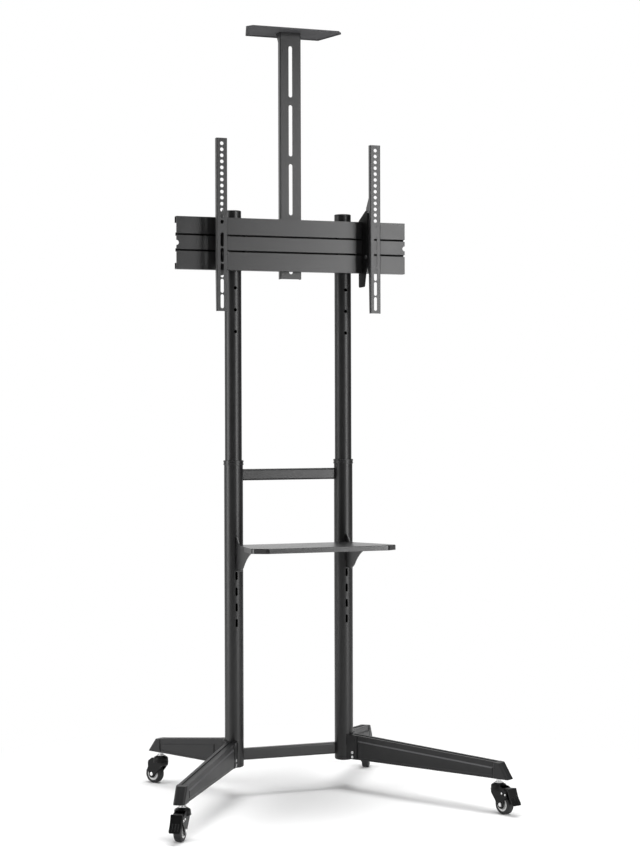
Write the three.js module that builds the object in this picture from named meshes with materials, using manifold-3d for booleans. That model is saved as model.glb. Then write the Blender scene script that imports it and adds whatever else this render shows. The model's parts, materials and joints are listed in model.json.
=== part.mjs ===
// A rolling television stand: two telescopic columns on four splayed legs with casters,
// a mounting plate with two hook-on tilting rails, a camera post with its tray, and a shelf.
// Lengths are millimetres. X runs to the right, Y to the back and Z up from the floor.
import * as THREE from "three";
import { mergeVertices } from "three/addons/utils/BufferGeometryUtils.js";
import Module from "manifold-3d";

// Gaps and overruns that all pieces share
const fitGap = 0.3;
const weldOverlap = 1;
const cutOverrun = 4;

// Columns: an outer tube below and an inner tube that slides up out of it
const columnSpacing = 297.6;
const lowerTubeRadius = 24;
const lowerTubeWall = 2;
const lowerTubeBottom = 80;
const lowerTubeLength = 769;
const upperTubeRadius = 21.5;
const upperTubeWall = 1.8;
const upperTubeInsertion = 175;
const upperTubeRise = 637;
const topCapThickness = 2.2;
const capSpigotLength = 16;
const footHeight = 6;
const footEdge = 4;
const footSpigotLength = 20;

// Slots for the shelf hooks in the lower tubes, and bolt holes in the upper tubes
const shelfSlotWidth = 6;
const shelfSlotHeight = 21;
const shelfSlotPitch = 40;
const shelfSlotCount = 6;
const topShelfSlotHeight = 642;
const lowSlotHeight = 125;
const mountHoleRadius = 4.2;
const mountHolePitch = 55.5;
const mountHoleCount = 6;
const lowestMountHole = 1181;

// Collars that guide the upper tubes, each with a lock screw at the back
const collarWall = 1.4;
const collarSkirt = 6;
const collarRise = 10;
const collarChamfer = 1.2;
const collarBossRadius = 4.4;
const collarBossReach = 5;
const collarScrewRadius = 2.5;
const collarScrewHeadRadius = 5.5;
const collarScrewHeadLength = 5;

// Crossbars between the lower tubes
const crossbarHeight = 29;
const crossbarDepth = 20;
const crossbarSetBack = 9;
const crossbarEdge = 4;
const crossbarWall = 1.5;
const upperCrossbarHeight = 817;
const lowerCrossbarHeight = 102.5;

// Mounting plate: a lipped channel with two pressed grooves and a welded sleeve for each tube
const plateWidth = 614;
const plateHeight = 132;
const plateBottom = 1335;
const plateFrontReach = 39;
const plateSheet = 2;
const plateLip = 16;
const grooveWidth = 5;
const grooveDepth = 9;
const grooveTaper = 0.6;
const upperGrooveDrop = 45;
const lowerGrooveDrop = 84.4;
const plateNotchRadius = 6.5;
const sleeveWall = 4;
const sleeveHeight = 97;
const sleeveBossRadius = 8;
const sleeveBossReach = 8;
const sleeveBoltRadius = 4;
const sleeveBoltHeadRadius = 7.5;
const sleeveBoltHeadLength = 5.5;

// Camera post: a channel with four long slots, and a tray with turned-down lips on its top
const postWidth = 56.7;
const postDepth = 15;
const postSheet = 2;
const postBottom = 1316.6;
const postLength = 630;
const postSlotWidth = 9.8;
const postSlotLength = 131;
const postSlotPitch = 150.5;
const postSlotCount = 4;
const lowestPostSlotRise = 78.5;
const postFlareDepth = 31;
const postFlareHeight = 25;
const postStudSpacing = 64;
const postStudRadius = 7;
const postBoltRadius = 3;
const postBoltFlangeRadius = 10;
const postBoltFlangeThickness = 2.5;
const postBoltHeadRadius = 5.5;
const postBoltHeadLength = 5;
const trayWidth = 255;
const trayFrontWidth = 229;
const trayBackWidth = 198;
const trayFrontReach = 69.5;
const trayShoulderReach = 51;
const trayBackReach = 46;
const traySheet = 2;
const trayLip = 4.5;

// Rails: slotted channels, one bolted to each side of the screen
const railSpacing = 408.6;
const railFrontReach = 93;
const railWidth = 28;
const railSheet = 2;
const railFlange = 12;
const railFlangeEnd = 8;
const railTaperHeight = 95;
const railBottom = 1228.5;
const railLength = 430;
const railHoleRadius = 4.6;
const railHolePitch = 15;
const railHoleCount = 14;
const railTopHoleDrop = 13.5;
const railSlotWidth = 8.6;
const railSlotLength = 35;
const railSlotPitch = 38.3;
const railSlotCount = 5;
const lowestRailSlotRise = 24.5;
const earReach = 19;
const earTopRise = 296.5;
const earShoulderDrop = 26;
const earFootRise = 101.5;
const earFootSlope = 32;
const earWindowRadius = 3.6;
const earWindowRise = 261;
const earWindowInset = 7;

// Tilt brackets: a hook plate for each rail, with the bolt that the rail tilts on
const hookSheet = 3;
const hookSideGap = 0.3;
const hookFrontGap = 12;
const hookCrownRise = 26;
const hookCrownInset = 13;
const hookShoulderRise = 17;
const hookShoulderInset = 5;
const hookBackWidth = 5;
const hookBackRise = 4;
const hookTail = 12;
const hookLip = 5;
const tongueFrontInset = 13;
const tongueTipInset = 24;
const tongueLength = 36;
const leftTongueLength = 13;
const tongueTipWidth = 5;
const tiltAxisRise = 39;
const tiltAxisReach = 73;
const tiltBoltRadius = 4;
const tiltBoltHeadRadius = 5.6;
const tiltBoltHeadLength = 3;
const tiltNutLength = 4;
const hookChinDrop = 11.2;

// Shelf: a tray with turned-down lips, on two slot brackets that slope up to the front
const shelfDepth = 277;
const shelfFrontWidth = 374;
const shelfBackWidth = 306;
const shelfCorner = 31;
const shelfSheet = 1.5;
const shelfLip = 12.6;
const shelfBackGap = 3;
const shelfTopDrop = 1.3;
const shelfRise = 10.1;
const shelfNotchDepth = 20;
const shelfNotchWidth = 10;
const bracketSheet = 3;
const bracketTopRise = 19;
const bracketHeadWidth = 5;
const bracketHeadSlope = 15;
const bracketHeight = 86;
const bracketFootReach = 34;
const bracketArmTip = 14;
const bracketArmDepth = 6;
const bracketArmReach = 119;
const bracketArmRise = 60;
// The underside's curve, as shares of the arm's reach and of its rise from the foot
const bracketCurveShares = [
  [0, 0],
  [0.12, 0.1],
  [0.2, 0.2],
  [0.29, 0.37],
  [0.39, 0.52],
  [0.48, 0.63],
  [0.58, 0.73],
  [0.73, 0.86],
  [1, 1],
];
const bracketHookReach = 7.3;
const bracketHookTongue = 6;
const bracketHookThickness = 4;
const bracketHookMargin = 2;

// Legs: four tapered beams that splay out from the columns
const legWidth = 28;
const legFoot = 78;
const legEndFoot = 85;
const legEndSlant = 25;
const frontLegOverhang = 35.1;
const frontLegRootHeight = 65;
const frontLegEndHeight = 38;
const backLegOverhang = 33.6;
const backLegRootHeight = 68;
const backLegEndHeight = 31;
const saddleRadius = 29.5;
const legEndLength = 41.5;
const legPanelStart = 55;
const legPanelGap = 2;
const legPanelRootRim = 12.5;
const legPanelEndRim = 12.5;
const legPanelRootFoot = 3;
const legPanelEndFoot = 6;
const legPanelDepth = 2;
const legPanelSlope = 3.5;
const legGrooveWidth = 9;
const legGrooveDepth = 2;
const legGrooveStart = 34;
const legScrewReach = 40;
const legScrewLow = 6.5;
const legScrewSpacing = 11.5;
const legScrewRadius = 2;
const legScrewHeadRadius = 3.8;
const legScrewHeadLength = 1.8;
const legScrewLength = 9;

// Casters: a single wheel in a hooded fork, which swivels on a stem pressed into the leg end
const frontStemSpread = 249.1;
const frontStemY = -413.8;
const backStemSpread = 139.2;
const backStemY = 208.8;
const wheelRadius = 25;
const wheelWidth = 20;
const wheelTrail = 20.5;
const wheelBoreGap = 0.3;
const dishShare = 0.76;
const dishRimShare = 0.72;
const shoulderShare = 0.86;
const treadShare = 0.7;
const axleRadius = 3;
const axleHeadRadius = 5;
const axleHeadLength = 2.4;
const forkInnerWidth = 22.6;
const forkSheet = 2;
const forkTop = 72;
const forkTopSheet = 3;
const hoodRadius = 20;
const hoodHeight = 15;
const hoodChamfer = 3.5;
const cheekNose = 14;
const cheekNoseHeight = 50;
const cheekEar = 10.5;
const cheekEarStart = 205;
const cheekEarEnd = 350;
const cheekWaist = 12;
const cheekWaistHeight = 37;
const brakedCheekTail = 21;
const plainCheekTail = 12;
const cheekTailTop = 58;
const cheekTailHeight = 45;
const forkHeadRadius = 12;
const forkHeadRise = 2;
const stemRadius = 5;
const stemNeckRadius = 6;
const stemFlangeRadius = 9.5;
const stemFlangeThickness = 2.5;
const stemRivetRadius = 7.5;
const stemRivetThickness = 2;
const stemInsertion = 20;

// Brake pedals of the two front casters
const pedalWidth = 28;
const pedalSheet = 2.6;
const pedalTyreGap = 1.5;
const pedalHeight = 38.5;
const pedalTop = 66.5;
const pedalSkirtRun = 7;
const pedalSkirtDrop = 20;
const pedalFlareRun = 19.5;
const pedalPivotReach = 24;
const pedalPivotHeight = 60;
const pedalHubRadius = 4.5;
const pedalArmThickness = 5;

// Direction in plan that each caster trails in, in degrees from the X axis
const frontLeftTrail = -122;
const frontRightTrail = -73;
const backLeftTrail = 124;
const backRightTrail = 64;

// Facets of the round surfaces
const tubeFacets = 24;
const wheelFacets = 20;
const roundFacets = 16;
const holeFacets = 12;
const drillFacets = 8;
const hexSides = 6;
const saddleSteps = 8;
const arcSteps = 4;
const smallArcSteps = 2;
const mergeDistance = 1e-4;

// Heights and places that follow from the sizes above
const columnX = columnSpacing / 2;
const lowerTubeTop = lowerTubeBottom + lowerTubeLength;
const upperTubeBottom = lowerTubeTop - upperTubeInsertion;
const upperTubeTop = lowerTubeTop + upperTubeRise;
const upperTubeInner = upperTubeRadius - upperTubeWall;
const lowerTubeInner = lowerTubeRadius - lowerTubeWall;
const plateTop = plateBottom + plateHeight;
const plateMiddle = plateBottom + plateHeight / 2;
const plateFront = -plateFrontReach;
const plateWebBack = plateFront + plateSheet;
const plateRear = -(upperTubeRadius + fitGap);
const postFront = -upperTubeRadius;
const postWebBack = postFront + postSheet;
const postTop = postBottom + postLength;
const railX = railSpacing / 2;
const railFront = -railFrontReach;
const railTop = railBottom + railLength;
const hookFront = railFront + railSheet + hookFrontGap;
const tiltAxisY = -tiltAxisReach;
const tiltAxisZ = plateBottom + tiltAxisRise;
const shelfBack = -(lowerTubeRadius + shelfBackGap);
const shelfBackHeight = topShelfSlotHeight - shelfTopDrop;
const shelfSlope = Math.atan2(shelfRise, shelfDepth);

const wasm = await Module();
wasm.setup();

const powderCoat = { color: 0x3f4042, roughness: 0.55, metalness: 0.35 };
const tubeCoat = { color: 0x2f3032, roughness: 0.38, metalness: 0.4 };
const blackPlastic = { color: 0x1b1b1c, roughness: 0.6, metalness: 0 };
const zinc = { color: 0xb8babd, roughness: 0.35, metalness: 0.9 };
const tyreRubber = { color: 0x2a2a2b, roughness: 0.7, metalness: 0 };

// Turns a closed three.js geometry into a solid that can be joined and cut.
function solidOf(geometry) {
  const plain = geometry.clone();
  plain.deleteAttribute("normal");
  plain.deleteAttribute("uv");
  const merged = mergeVertices(plain, mergeDistance);
  return new wasm.Manifold(
    new wasm.Mesh({
      numProp: 3,
      vertProperties: merged.attributes.position.array,
      triVerts: new Uint32Array(merged.index.array),
    }),
  );
}

function geometryOf(solid) {
  const data = solid.getMesh();
  const geometry = new THREE.BufferGeometry();
  const places = new THREE.BufferAttribute(new Float32Array(data.vertProperties), 3);
  geometry.setAttribute("position", places);
  geometry.setIndex(new THREE.BufferAttribute(new Uint32Array(data.triVerts), 1));
  geometry.computeVertexNormals();
  return geometry;
}

function joined(...geometries) {
  const solids = geometries.map(solidOf);
  return geometryOf(solids.reduce((whole, piece) => whole.add(piece)));
}

function cut(body, ...tools) {
  const solids = tools.map(solidOf);
  return geometryOf(solids.reduce((whole, tool) => whole.subtract(tool), solidOf(body)));
}

// Extrudes an outline, given as pairs, and lays it in space by a matrix.
function extruded(points, length, matrix) {
  const shape = new THREE.Shape(points.map(([u, v]) => new THREE.Vector2(u, v)));
  const geometry = new THREE.ExtrudeGeometry(shape, { depth: length, bevelEnabled: false });
  return geometry.applyMatrix4(matrix);
}

// Prism along X from an outline of [y, z] pairs.
function prismX(points, start, end) {
  const lay = new THREE.Matrix4().set(0, 0, 1, start, 1, 0, 0, 0, 0, 1, 0, 0, 0, 0, 0, 1);
  return extruded(points, end - start, lay);
}

// Prism along Y from an outline of [x, z] pairs.
function prismY(points, start, end) {
  const lay = new THREE.Matrix4().set(0, 1, 0, 0, 0, 0, 1, start, 1, 0, 0, 0, 0, 0, 0, 1);
  return extruded(points.map(([x, z]) => [z, x]), end - start, lay);
}

// Prism along Z from an outline of [x, y] pairs.
function prismZ(points, start, end) {
  return extruded(points, end - start, new THREE.Matrix4().makeTranslation(0, 0, start));
}

// Solid between two outlines of [x, z] pairs, one at each of two places along Y.
function taperedY(first, second, start, end) {
  const near = first.map(([x, z]) => [x, start, z]);
  const far = second.map(([x, z]) => [x, end, z]);
  return geometryOf(wasm.Manifold.hull([...near, ...far]));
}

function rectangle(left, right, low, high) {
  return [
    [left, low],
    [right, low],
    [right, high],
    [left, high],
  ];
}

// Points of an arc round a centre, from one angle to another in degrees.
function arc(centreU, centreV, radius, from, to, steps) {
  const points = [];
  for (let i = 0; i <= steps; i += 1) {
    const angle = THREE.MathUtils.degToRad(from + ((to - from) * i) / steps);
    points.push([centreU + radius * Math.cos(angle), centreV + radius * Math.sin(angle)]);
  }
  return points;
}

function circle(centreU, centreV, radius, facets) {
  return arc(centreU, centreV, radius, 0, 360, facets).slice(0, facets);
}

// A slot with round ends that stands upright in its outline's plane.
function uprightSlot(centreU, centreV, width, length, steps) {
  const radius = width / 2;
  const rise = length / 2 - radius;
  return [
    ...arc(centreU, centreV + rise, radius, 0, 180, steps),
    ...arc(centreU, centreV - rise, radius, 180, 360, steps),
  ];
}

// A rectangle with its corners rounded off.
function roundedRectangle(left, right, low, high, radius) {
  return [
    ...arc(right - radius, high - radius, radius, 0, 90, 2),
    ...arc(left + radius, high - radius, radius, 90, 180, 2),
    ...arc(left + radius, low + radius, radius, 180, 270, 2),
    ...arc(right - radius, low + radius, radius, 270, 360, 2),
  ];
}

// A solid of revolution round Z from a profile of [radius, z] pairs, given bottom to top on the outside.
function turned(profile, facets) {
  const points = profile.map(([radius, z]) => new THREE.Vector2(radius, z));
  return new THREE.LatheGeometry(points, facets).rotateX(Math.PI / 2);
}

// Moves an outline's edges inwards by a distance. The outline runs counterclockwise.
function inset(points, distance) {
  const count = points.length;
  const edges = points.map(([x, y], i) => {
    const [nextX, nextY] = points[(i + 1) % count];
    const length = Math.hypot(nextX - x, nextY - y);
    const direction = [(nextX - x) / length, (nextY - y) / length];
    const start = [x - direction[1] * distance, y + direction[0] * distance];
    return { start, direction };
  });
  return edges.map((edge, i) => {
    const before = edges[(i + count - 1) % count];
    const across = before.direction[0] * edge.direction[1] - before.direction[1] * edge.direction[0];
    const gapX = edge.start[0] - before.start[0];
    const gapY = edge.start[1] - before.start[1];
    const along = (gapX * edge.direction[1] - gapY * edge.direction[0]) / across;
    return [before.start[0] + before.direction[0] * along, before.start[1] + before.direction[1] * along];
  });
}

function node(group, name, finish, geometry) {
  const mesh = new THREE.Mesh(geometry, new THREE.MeshStandardMaterial(finish));
  mesh.name = name;
  group.add(mesh);
  return mesh;
}

const sides = [
  { name: "left", sign: -1 },
  { name: "right", sign: 1 },
];

function tube(x, outer, inner, bottom, top) {
  return cut(
    prismZ(circle(x, 0, outer, tubeFacets), bottom, top),
    prismZ(circle(x, 0, inner, tubeFacets), bottom - cutOverrun, top + cutOverrun),
  );
}

function lowerColumn(x) {
  const heights = [lowSlotHeight];
  for (let i = 0; i < shelfSlotCount; i += 1) {
    heights.push(topShelfSlotHeight - i * shelfSlotPitch);
  }
  const slots = heights.map((z) =>
    prismY(
      uprightSlot(x, z, shelfSlotWidth, shelfSlotHeight, smallArcSteps),
      -lowerTubeRadius - cutOverrun,
      -lowerTubeInner + cutOverrun,
    ),
  );
  return cut(tube(x, lowerTubeRadius, lowerTubeInner, lowerTubeBottom, lowerTubeTop), ...slots);
}

function upperColumn(x) {
  const holes = [];
  for (let i = 0; i < mountHoleCount; i += 1) {
    const hole = circle(x, lowestMountHole + i * mountHolePitch, mountHoleRadius, drillFacets);
    holes.push(prismY(hole, -upperTubeRadius - cutOverrun, -upperTubeInner + cutOverrun));
  }
  return cut(tube(x, upperTubeRadius, upperTubeInner, upperTubeBottom, upperTubeTop), ...holes);
}

function columnFoot(x) {
  const face = lowerTubeBottom - fitGap;
  const bottom = lowerTubeBottom - footHeight;
  const spigot = lowerTubeInner - fitGap;
  const edge = arc(lowerTubeRadius - footEdge, bottom + footEdge, footEdge, -90, 0, smallArcSteps);
  const profile = [
    [0, bottom],
    ...edge,
    [lowerTubeRadius, face],
    [spigot, face],
    [spigot, face + footSpigotLength],
    [0, face + footSpigotLength],
  ];
  return turned(profile, tubeFacets).translate(x, 0, 0);
}

function topCap(x) {
  const face = upperTubeTop + fitGap;
  const spigot = upperTubeInner - fitGap;
  const profile = [
    [0, face - capSpigotLength],
    [spigot, face - capSpigotLength],
    [spigot, face],
    [upperTubeRadius, face],
    [upperTubeRadius, face + topCapThickness / 2],
    [upperTubeRadius - topCapThickness / 2, face + topCapThickness],
    [0, face + topCapThickness],
  ];
  return turned(profile, tubeFacets).translate(x, 0, 0);
}

const collarOuter = lowerTubeRadius + fitGap + collarWall;
const collarTop = lowerTubeTop + collarRise;
const collarScrewHeight = lowerTubeTop + collarRise / 2;

function collar(x) {
  const shoulder = lowerTubeTop + fitGap;
  const profile = [
    [lowerTubeRadius + fitGap, lowerTubeTop - collarSkirt],
    [collarOuter, lowerTubeTop - collarSkirt],
    [collarOuter, collarTop - collarChamfer],
    [collarOuter - collarChamfer, collarTop],
    [upperTubeRadius + fitGap, collarTop],
    [upperTubeRadius + fitGap, shoulder],
    [lowerTubeRadius + fitGap, shoulder],
    [lowerTubeRadius + fitGap, lowerTubeTop - collarSkirt],
  ];
  const ring = turned(profile, tubeFacets).translate(x, 0, 0);
  const bossStart = upperTubeRadius + weldOverlap;
  const boss = circle(x, collarScrewHeight, collarBossRadius, roundFacets);
  const bore = circle(x, collarScrewHeight, collarScrewRadius + fitGap, holeFacets);
  return cut(
    joined(ring, prismY(boss, bossStart, collarOuter + collarBossReach)),
    prismY(bore, 0, collarOuter + collarBossReach + cutOverrun),
  );
}

function collarScrew(x) {
  const seat = collarOuter + collarBossReach + fitGap;
  const shank = circle(x, collarScrewHeight, collarScrewRadius, holeFacets);
  const head = circle(x, collarScrewHeight, collarScrewHeadRadius, holeFacets);
  return joined(
    prismY(shank, upperTubeRadius + fitGap, seat + weldOverlap),
    prismY(head, seat, seat + collarScrewHeadLength),
  );
}

function crossbar(z) {
  const low = z - crossbarHeight / 2;
  const front = crossbarSetBack - crossbarDepth / 2;
  const section = roundedRectangle(
    front,
    front + crossbarDepth,
    low,
    low + crossbarHeight,
    crossbarEdge,
  );
  const ends = sides.map(({ sign }) =>
    prismZ(
      circle(sign * columnX, 0, lowerTubeRadius + fitGap, tubeFacets),
      low - cutOverrun,
      low + crossbarHeight + cutOverrun,
    ),
  );
  return cut(
    prismX(section, -columnX, columnX),
    prismX(inset(section, crossbarWall), -columnX - cutOverrun, columnX + cutOverrun),
    ...ends,
  );
}

// Outline of one pressed groove, top to bottom, on the face at y with the sheet pushed back.
function groovePoints(y, middle, half) {
  return [
    [y, middle + half],
    [y + grooveDepth, middle + half - grooveTaper],
    [y + grooveDepth, middle - half + grooveTaper],
    [y, middle - half],
  ];
}

function mountingPlate() {
  const grooves = [plateTop - upperGrooveDrop, plateTop - lowerGrooveDrop];
  const lipInside = plateRear - plateSheet;
  const section = [
    [plateRear, plateTop],
    [plateFront, plateTop],
    ...grooves.flatMap((z) => groovePoints(plateFront, z, grooveWidth / 2)),
    [plateFront, plateBottom],
    [plateRear, plateBottom],
    [plateRear, plateBottom + plateLip],
    [lipInside, plateBottom + plateLip],
    [lipInside, plateBottom + plateSheet],
    [plateWebBack, plateBottom + plateSheet],
    ...grooves.flatMap((z) => groovePoints(plateWebBack, z, grooveWidth / 2 + plateSheet)).reverse(),
    [plateWebBack, plateTop - plateSheet],
    [lipInside, plateTop - plateSheet],
    [lipInside, plateTop - plateLip],
    [plateRear, plateTop - plateLip],
  ];
  const channel = prismX(section, -plateWidth / 2, plateWidth / 2);
  const notches = sides.map(({ sign }) =>
    prismY(
      circle((sign * plateWidth) / 2, plateMiddle, plateNotchRadius, roundFacets),
      plateFront - cutOverrun,
      plateRear,
    ),
  );
  return cut(
    joined(cut(channel, ...notches), ...sides.map(({ sign }) => sleeve(sign * columnX)), ...postStuds()),
    ...boltBores(),
  );
}

const sleeveRadius = upperTubeRadius + fitGap + sleeveWall;
const sleeveBossEnd = sleeveRadius + sleeveBossReach;

// A sleeve closes round the back of its tube, and its two cheeks are welded to the plate.
function sleeve(x) {
  const low = plateMiddle - sleeveHeight / 2;
  const high = plateMiddle + sleeveHeight / 2;
  const start = plateWebBack - weldOverlap;
  const room = upperTubeRadius + fitGap;
  const outer = [[x - sleeveRadius, start], [x + sleeveRadius, start]];
  const inner = [[x - room, start - cutOverrun], [x + room, start - cutOverrun]];
  const body = cut(
    prismZ([...outer, ...arc(x, 0, sleeveRadius, 0, 180, roundFacets)], low, high),
    prismZ([...inner, ...arc(x, 0, room, 0, 180, roundFacets)], low - cutOverrun, high + cutOverrun),
  );
  const boss = circle(x, plateMiddle, sleeveBossRadius, roundFacets);
  return joined(body, prismY(boss, room + weldOverlap, sleeveBossEnd));
}

function postStudHeights() {
  return [plateMiddle - postStudSpacing / 2, plateMiddle + postStudSpacing / 2];
}

// Welded studs behind the plate that the camera post is bolted to.
function postStuds() {
  return postStudHeights().map((z) =>
    prismY(circle(0, z, postStudRadius, roundFacets), plateWebBack - weldOverlap, plateRear),
  );
}

function boltBores() {
  const sleeveBores = sides.map(({ sign }) =>
    prismY(
      circle(sign * columnX, plateMiddle, sleeveBoltRadius + fitGap, holeFacets),
      0,
      sleeveBossEnd + cutOverrun,
    ),
  );
  const studBores = postStudHeights().map((z) =>
    prismY(
      circle(0, z, postBoltRadius + fitGap, holeFacets),
      plateWebBack + weldOverlap,
      plateRear + cutOverrun,
    ),
  );
  return [...sleeveBores, ...studBores];
}

function sleeveBolt(x) {
  const seat = sleeveBossEnd + fitGap;
  return joined(
    prismY(
      circle(x, plateMiddle, sleeveBoltRadius, holeFacets),
      upperTubeRadius + fitGap,
      seat + weldOverlap,
    ),
    prismY(circle(x, plateMiddle, sleeveBoltHeadRadius, hexSides), seat, seat + sleeveBoltHeadLength),
  );
}

function postBolt(z) {
  const seat = postWebBack + fitGap;
  const washerEnd = seat + postBoltFlangeThickness;
  return joined(
    prismY(
      circle(0, z, postBoltRadius, holeFacets),
      plateWebBack + weldOverlap + fitGap,
      seat + weldOverlap,
    ),
    prismY(circle(0, z, postBoltFlangeRadius, roundFacets), seat, washerEnd),
    prismY(
      circle(0, z, postBoltHeadRadius, hexSides),
      washerEnd - weldOverlap,
      washerEnd + postBoltHeadLength,
    ),
  );
}

function cameraPost() {
  const half = postWidth / 2;
  const web = prismZ(rectangle(-half, half, postFront, postWebBack), postBottom, postTop);
  const flangeEnd = postFront + postDepth;
  const flare = [
    [postFront, postBottom],
    [flangeEnd, postBottom],
    [flangeEnd, postTop - postFlareHeight],
    [postFront + postFlareDepth, postTop],
    [postFront, postTop],
  ];
  const flanges = [prismX(flare, -half, -half + postSheet), prismX(flare, half - postSheet, half)];
  const head = rectangle(-half, half, postFront, postFront + postFlareDepth);
  const slots = [];
  for (let i = 0; i < postSlotCount; i += 1) {
    const z = postBottom + lowestPostSlotRise + i * postSlotPitch;
    const slot = uprightSlot(0, z, postSlotWidth, postSlotLength, arcSteps);
    slots.push(prismY(slot, postFront - cutOverrun, postWebBack + cutOverrun));
  }
  return cut(joined(web, ...flanges, prismZ(head, postTop - postSheet, postTop)), ...slots);
}

function cameraTray() {
  const side = trayWidth / 2;
  const front = trayFrontWidth / 2;
  const back = trayBackWidth / 2;
  const outline = [
    [-back, trayBackReach],
    [-side, -trayShoulderReach],
    [-front, -trayFrontReach],
    [front, -trayFrontReach],
    [side, -trayShoulderReach],
    [back, trayBackReach],
  ];
  const underside = postTop + fitGap;
  const top = underside + traySheet;
  return cut(
    prismZ(outline, top - trayLip, top),
    prismZ(inset(outline, traySheet), top - trayLip - cutOverrun, underside),
  );
}

// A rail in place. The channel opens to the back, and the ear of its inner cheek reaches back.
function rail(x, sign) {
  const half = railWidth / 2;
  const webBack = railFront + railSheet;
  const flangeBack = railFront + railFlange;
  const earBack = flangeBack + earReach;
  const taperTop = railBottom + railTaperHeight;
  const foot = [
    [railFront, railBottom],
    [railFront + railFlangeEnd, railBottom],
    [flangeBack, taperTop],
  ];
  const ear = [
    [flangeBack, railBottom + earFootRise],
    [earBack, railBottom + earFootRise + earFootSlope],
    [earBack, railBottom + earTopRise - earShoulderDrop],
    [flangeBack, railBottom + earTopRise],
  ];
  const head = [
    [flangeBack, railTop],
    [railFront, railTop],
  ];
  const web = prismZ(rectangle(x - half, x + half, railFront, webBack), railBottom, railTop);
  const inner = span(x - sign * half, x - sign * (half - railSheet));
  const outer = span(x + sign * half, x + sign * (half - railSheet));
  const cheeks = [prismX([...foot, ...ear, ...head], ...inner), prismX([...foot, ...head], ...outer)];
  const openings = [];
  for (let i = 0; i < railHoleCount; i += 1) {
    openings.push(circle(x, railTop - railTopHoleDrop - i * railHolePitch, railHoleRadius, drillFacets));
  }
  for (let i = 0; i < railSlotCount; i += 1) {
    const z = railBottom + lowestRailSlotRise + i * railSlotPitch;
    openings.push(uprightSlot(x, z, railSlotWidth, railSlotLength, smallArcSteps));
  }
  const windowY = flangeBack + earWindowInset;
  const crossways = [
    circle(windowY, railBottom + earWindowRise, earWindowRadius, holeFacets),
    circle(tiltAxisY, tiltAxisZ, tiltBoltRadius + fitGap, holeFacets),
  ].map((points) => prismX(points, x - railWidth, x + railWidth));
  const drills = openings.map((points) => prismY(points, railFront - cutOverrun, webBack + cutOverrun));
  return cut(joined(web, ...cheeks), ...drills, ...crossways);
}

// Puts a pair of limits in rising order, whichever side of the stand they belong to.
function span(a, b) {
  return [Math.min(a, b), Math.max(a, b)];
}

// The bracket is a single hooked plate against the rail's inner cheek.
function hookPlateSpan(x, sign) {
  const near = x - sign * (railWidth / 2 + hookSideGap);
  return span(near, near - sign * hookSheet);
}

function tiltBracket(x, sign, tongue) {
  const [start, end] = hookPlateSpan(x, sign);
  const seat = plateFront - fitGap;
  const over = plateTop + fitGap;
  const under = plateBottom - fitGap;
  const behind = plateRear + fitGap;
  const back = behind + hookBackWidth;
  const tongueShare = tongue / tongueLength;
  const tipFront = hookFront + tongueFrontInset + (tongueTipInset - tongueFrontInset) * tongueShare;
  const outline = [
    [hookFront, tiltAxisZ - hookChinDrop],
    [hookFront + tongueFrontInset, under],
    [tipFront, under - tongue + tongueTipWidth],
    [tipFront + tongueTipWidth, under - tongue],
    [back - tongueTipWidth, under - tongue],
    [back, under - tongue + tongueTipWidth],
    [back, under + hookLip],
    [behind, under + hookLip],
    [behind, under],
    [seat, under],
    [seat, over],
    [behind, over],
    [behind, over - hookTail],
    [back, over - hookTail],
    [back, over + hookBackRise],
    [hookFront + hookCrownInset, plateTop + hookCrownRise],
    [hookFront + hookShoulderInset, plateTop + hookCrownRise],
    [hookFront, plateTop + hookShoulderRise],
  ];
  const bore = circle(tiltAxisY, tiltAxisZ, tiltBoltRadius + fitGap, holeFacets);
  return cut(prismX(outline, start, end), prismX(bore, start - cutOverrun, end + cutOverrun));
}

// The bolt's head lies on the bracket, and its nut lies in the rail against the inner cheek.
function tiltBolt(x, sign) {
  const headSeat = x - sign * (railWidth / 2 + hookSideGap + hookSheet + fitGap);
  const nutSeat = x - sign * (railWidth / 2 - railSheet - fitGap);
  const shank = circle(tiltAxisY, tiltAxisZ, tiltBoltRadius, holeFacets);
  const head = circle(tiltAxisY, tiltAxisZ, tiltBoltHeadRadius, hexSides);
  return joined(
    prismX(shank, ...span(headSeat - sign * weldOverlap, nutSeat + sign * weldOverlap)),
    prismX(head, ...span(headSeat, headSeat - sign * tiltBoltHeadLength)),
    prismX(head, ...span(nutSeat, nutSeat + sign * tiltNutLength)),
  );
}

// The shelf in its own frame: its back edge lies on the X axis and its top at zero.
function shelfTray() {
  const back = shelfBackWidth / 2;
  const front = shelfFrontWidth / 2;
  const inner = back - shelfNotchWidth;
  const outline = [
    [-inner, 0],
    [-inner, -shelfNotchDepth],
    [-back, -shelfNotchDepth],
    [-front, -shelfDepth + shelfCorner],
    [-front + shelfCorner, -shelfDepth],
    [front - shelfCorner, -shelfDepth],
    [front, -shelfDepth + shelfCorner],
    [back, -shelfNotchDepth],
    [inner, -shelfNotchDepth],
    [inner, 0],
  ];
  const lipOutline = [
    [-back, -shelfNotchDepth],
    ...outline.slice(3, 7),
    [back, -shelfNotchDepth],
  ];
  const lipInside = inset(lipOutline, shelfSheet);
  lipInside[0][1] = cutOverrun;
  lipInside[lipInside.length - 1][1] = cutOverrun;
  const lip = cut(
    prismZ(lipOutline, -shelfLip, 0),
    prismZ(lipInside, -shelfLip - cutOverrun, -shelfSheet),
  );
  const backLip = rectangle(-inner, inner, -shelfSheet, 0);
  return joined(prismZ(outline, -shelfSheet, 0), lip, prismZ(backLip, -shelfLip, 0));
}

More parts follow.
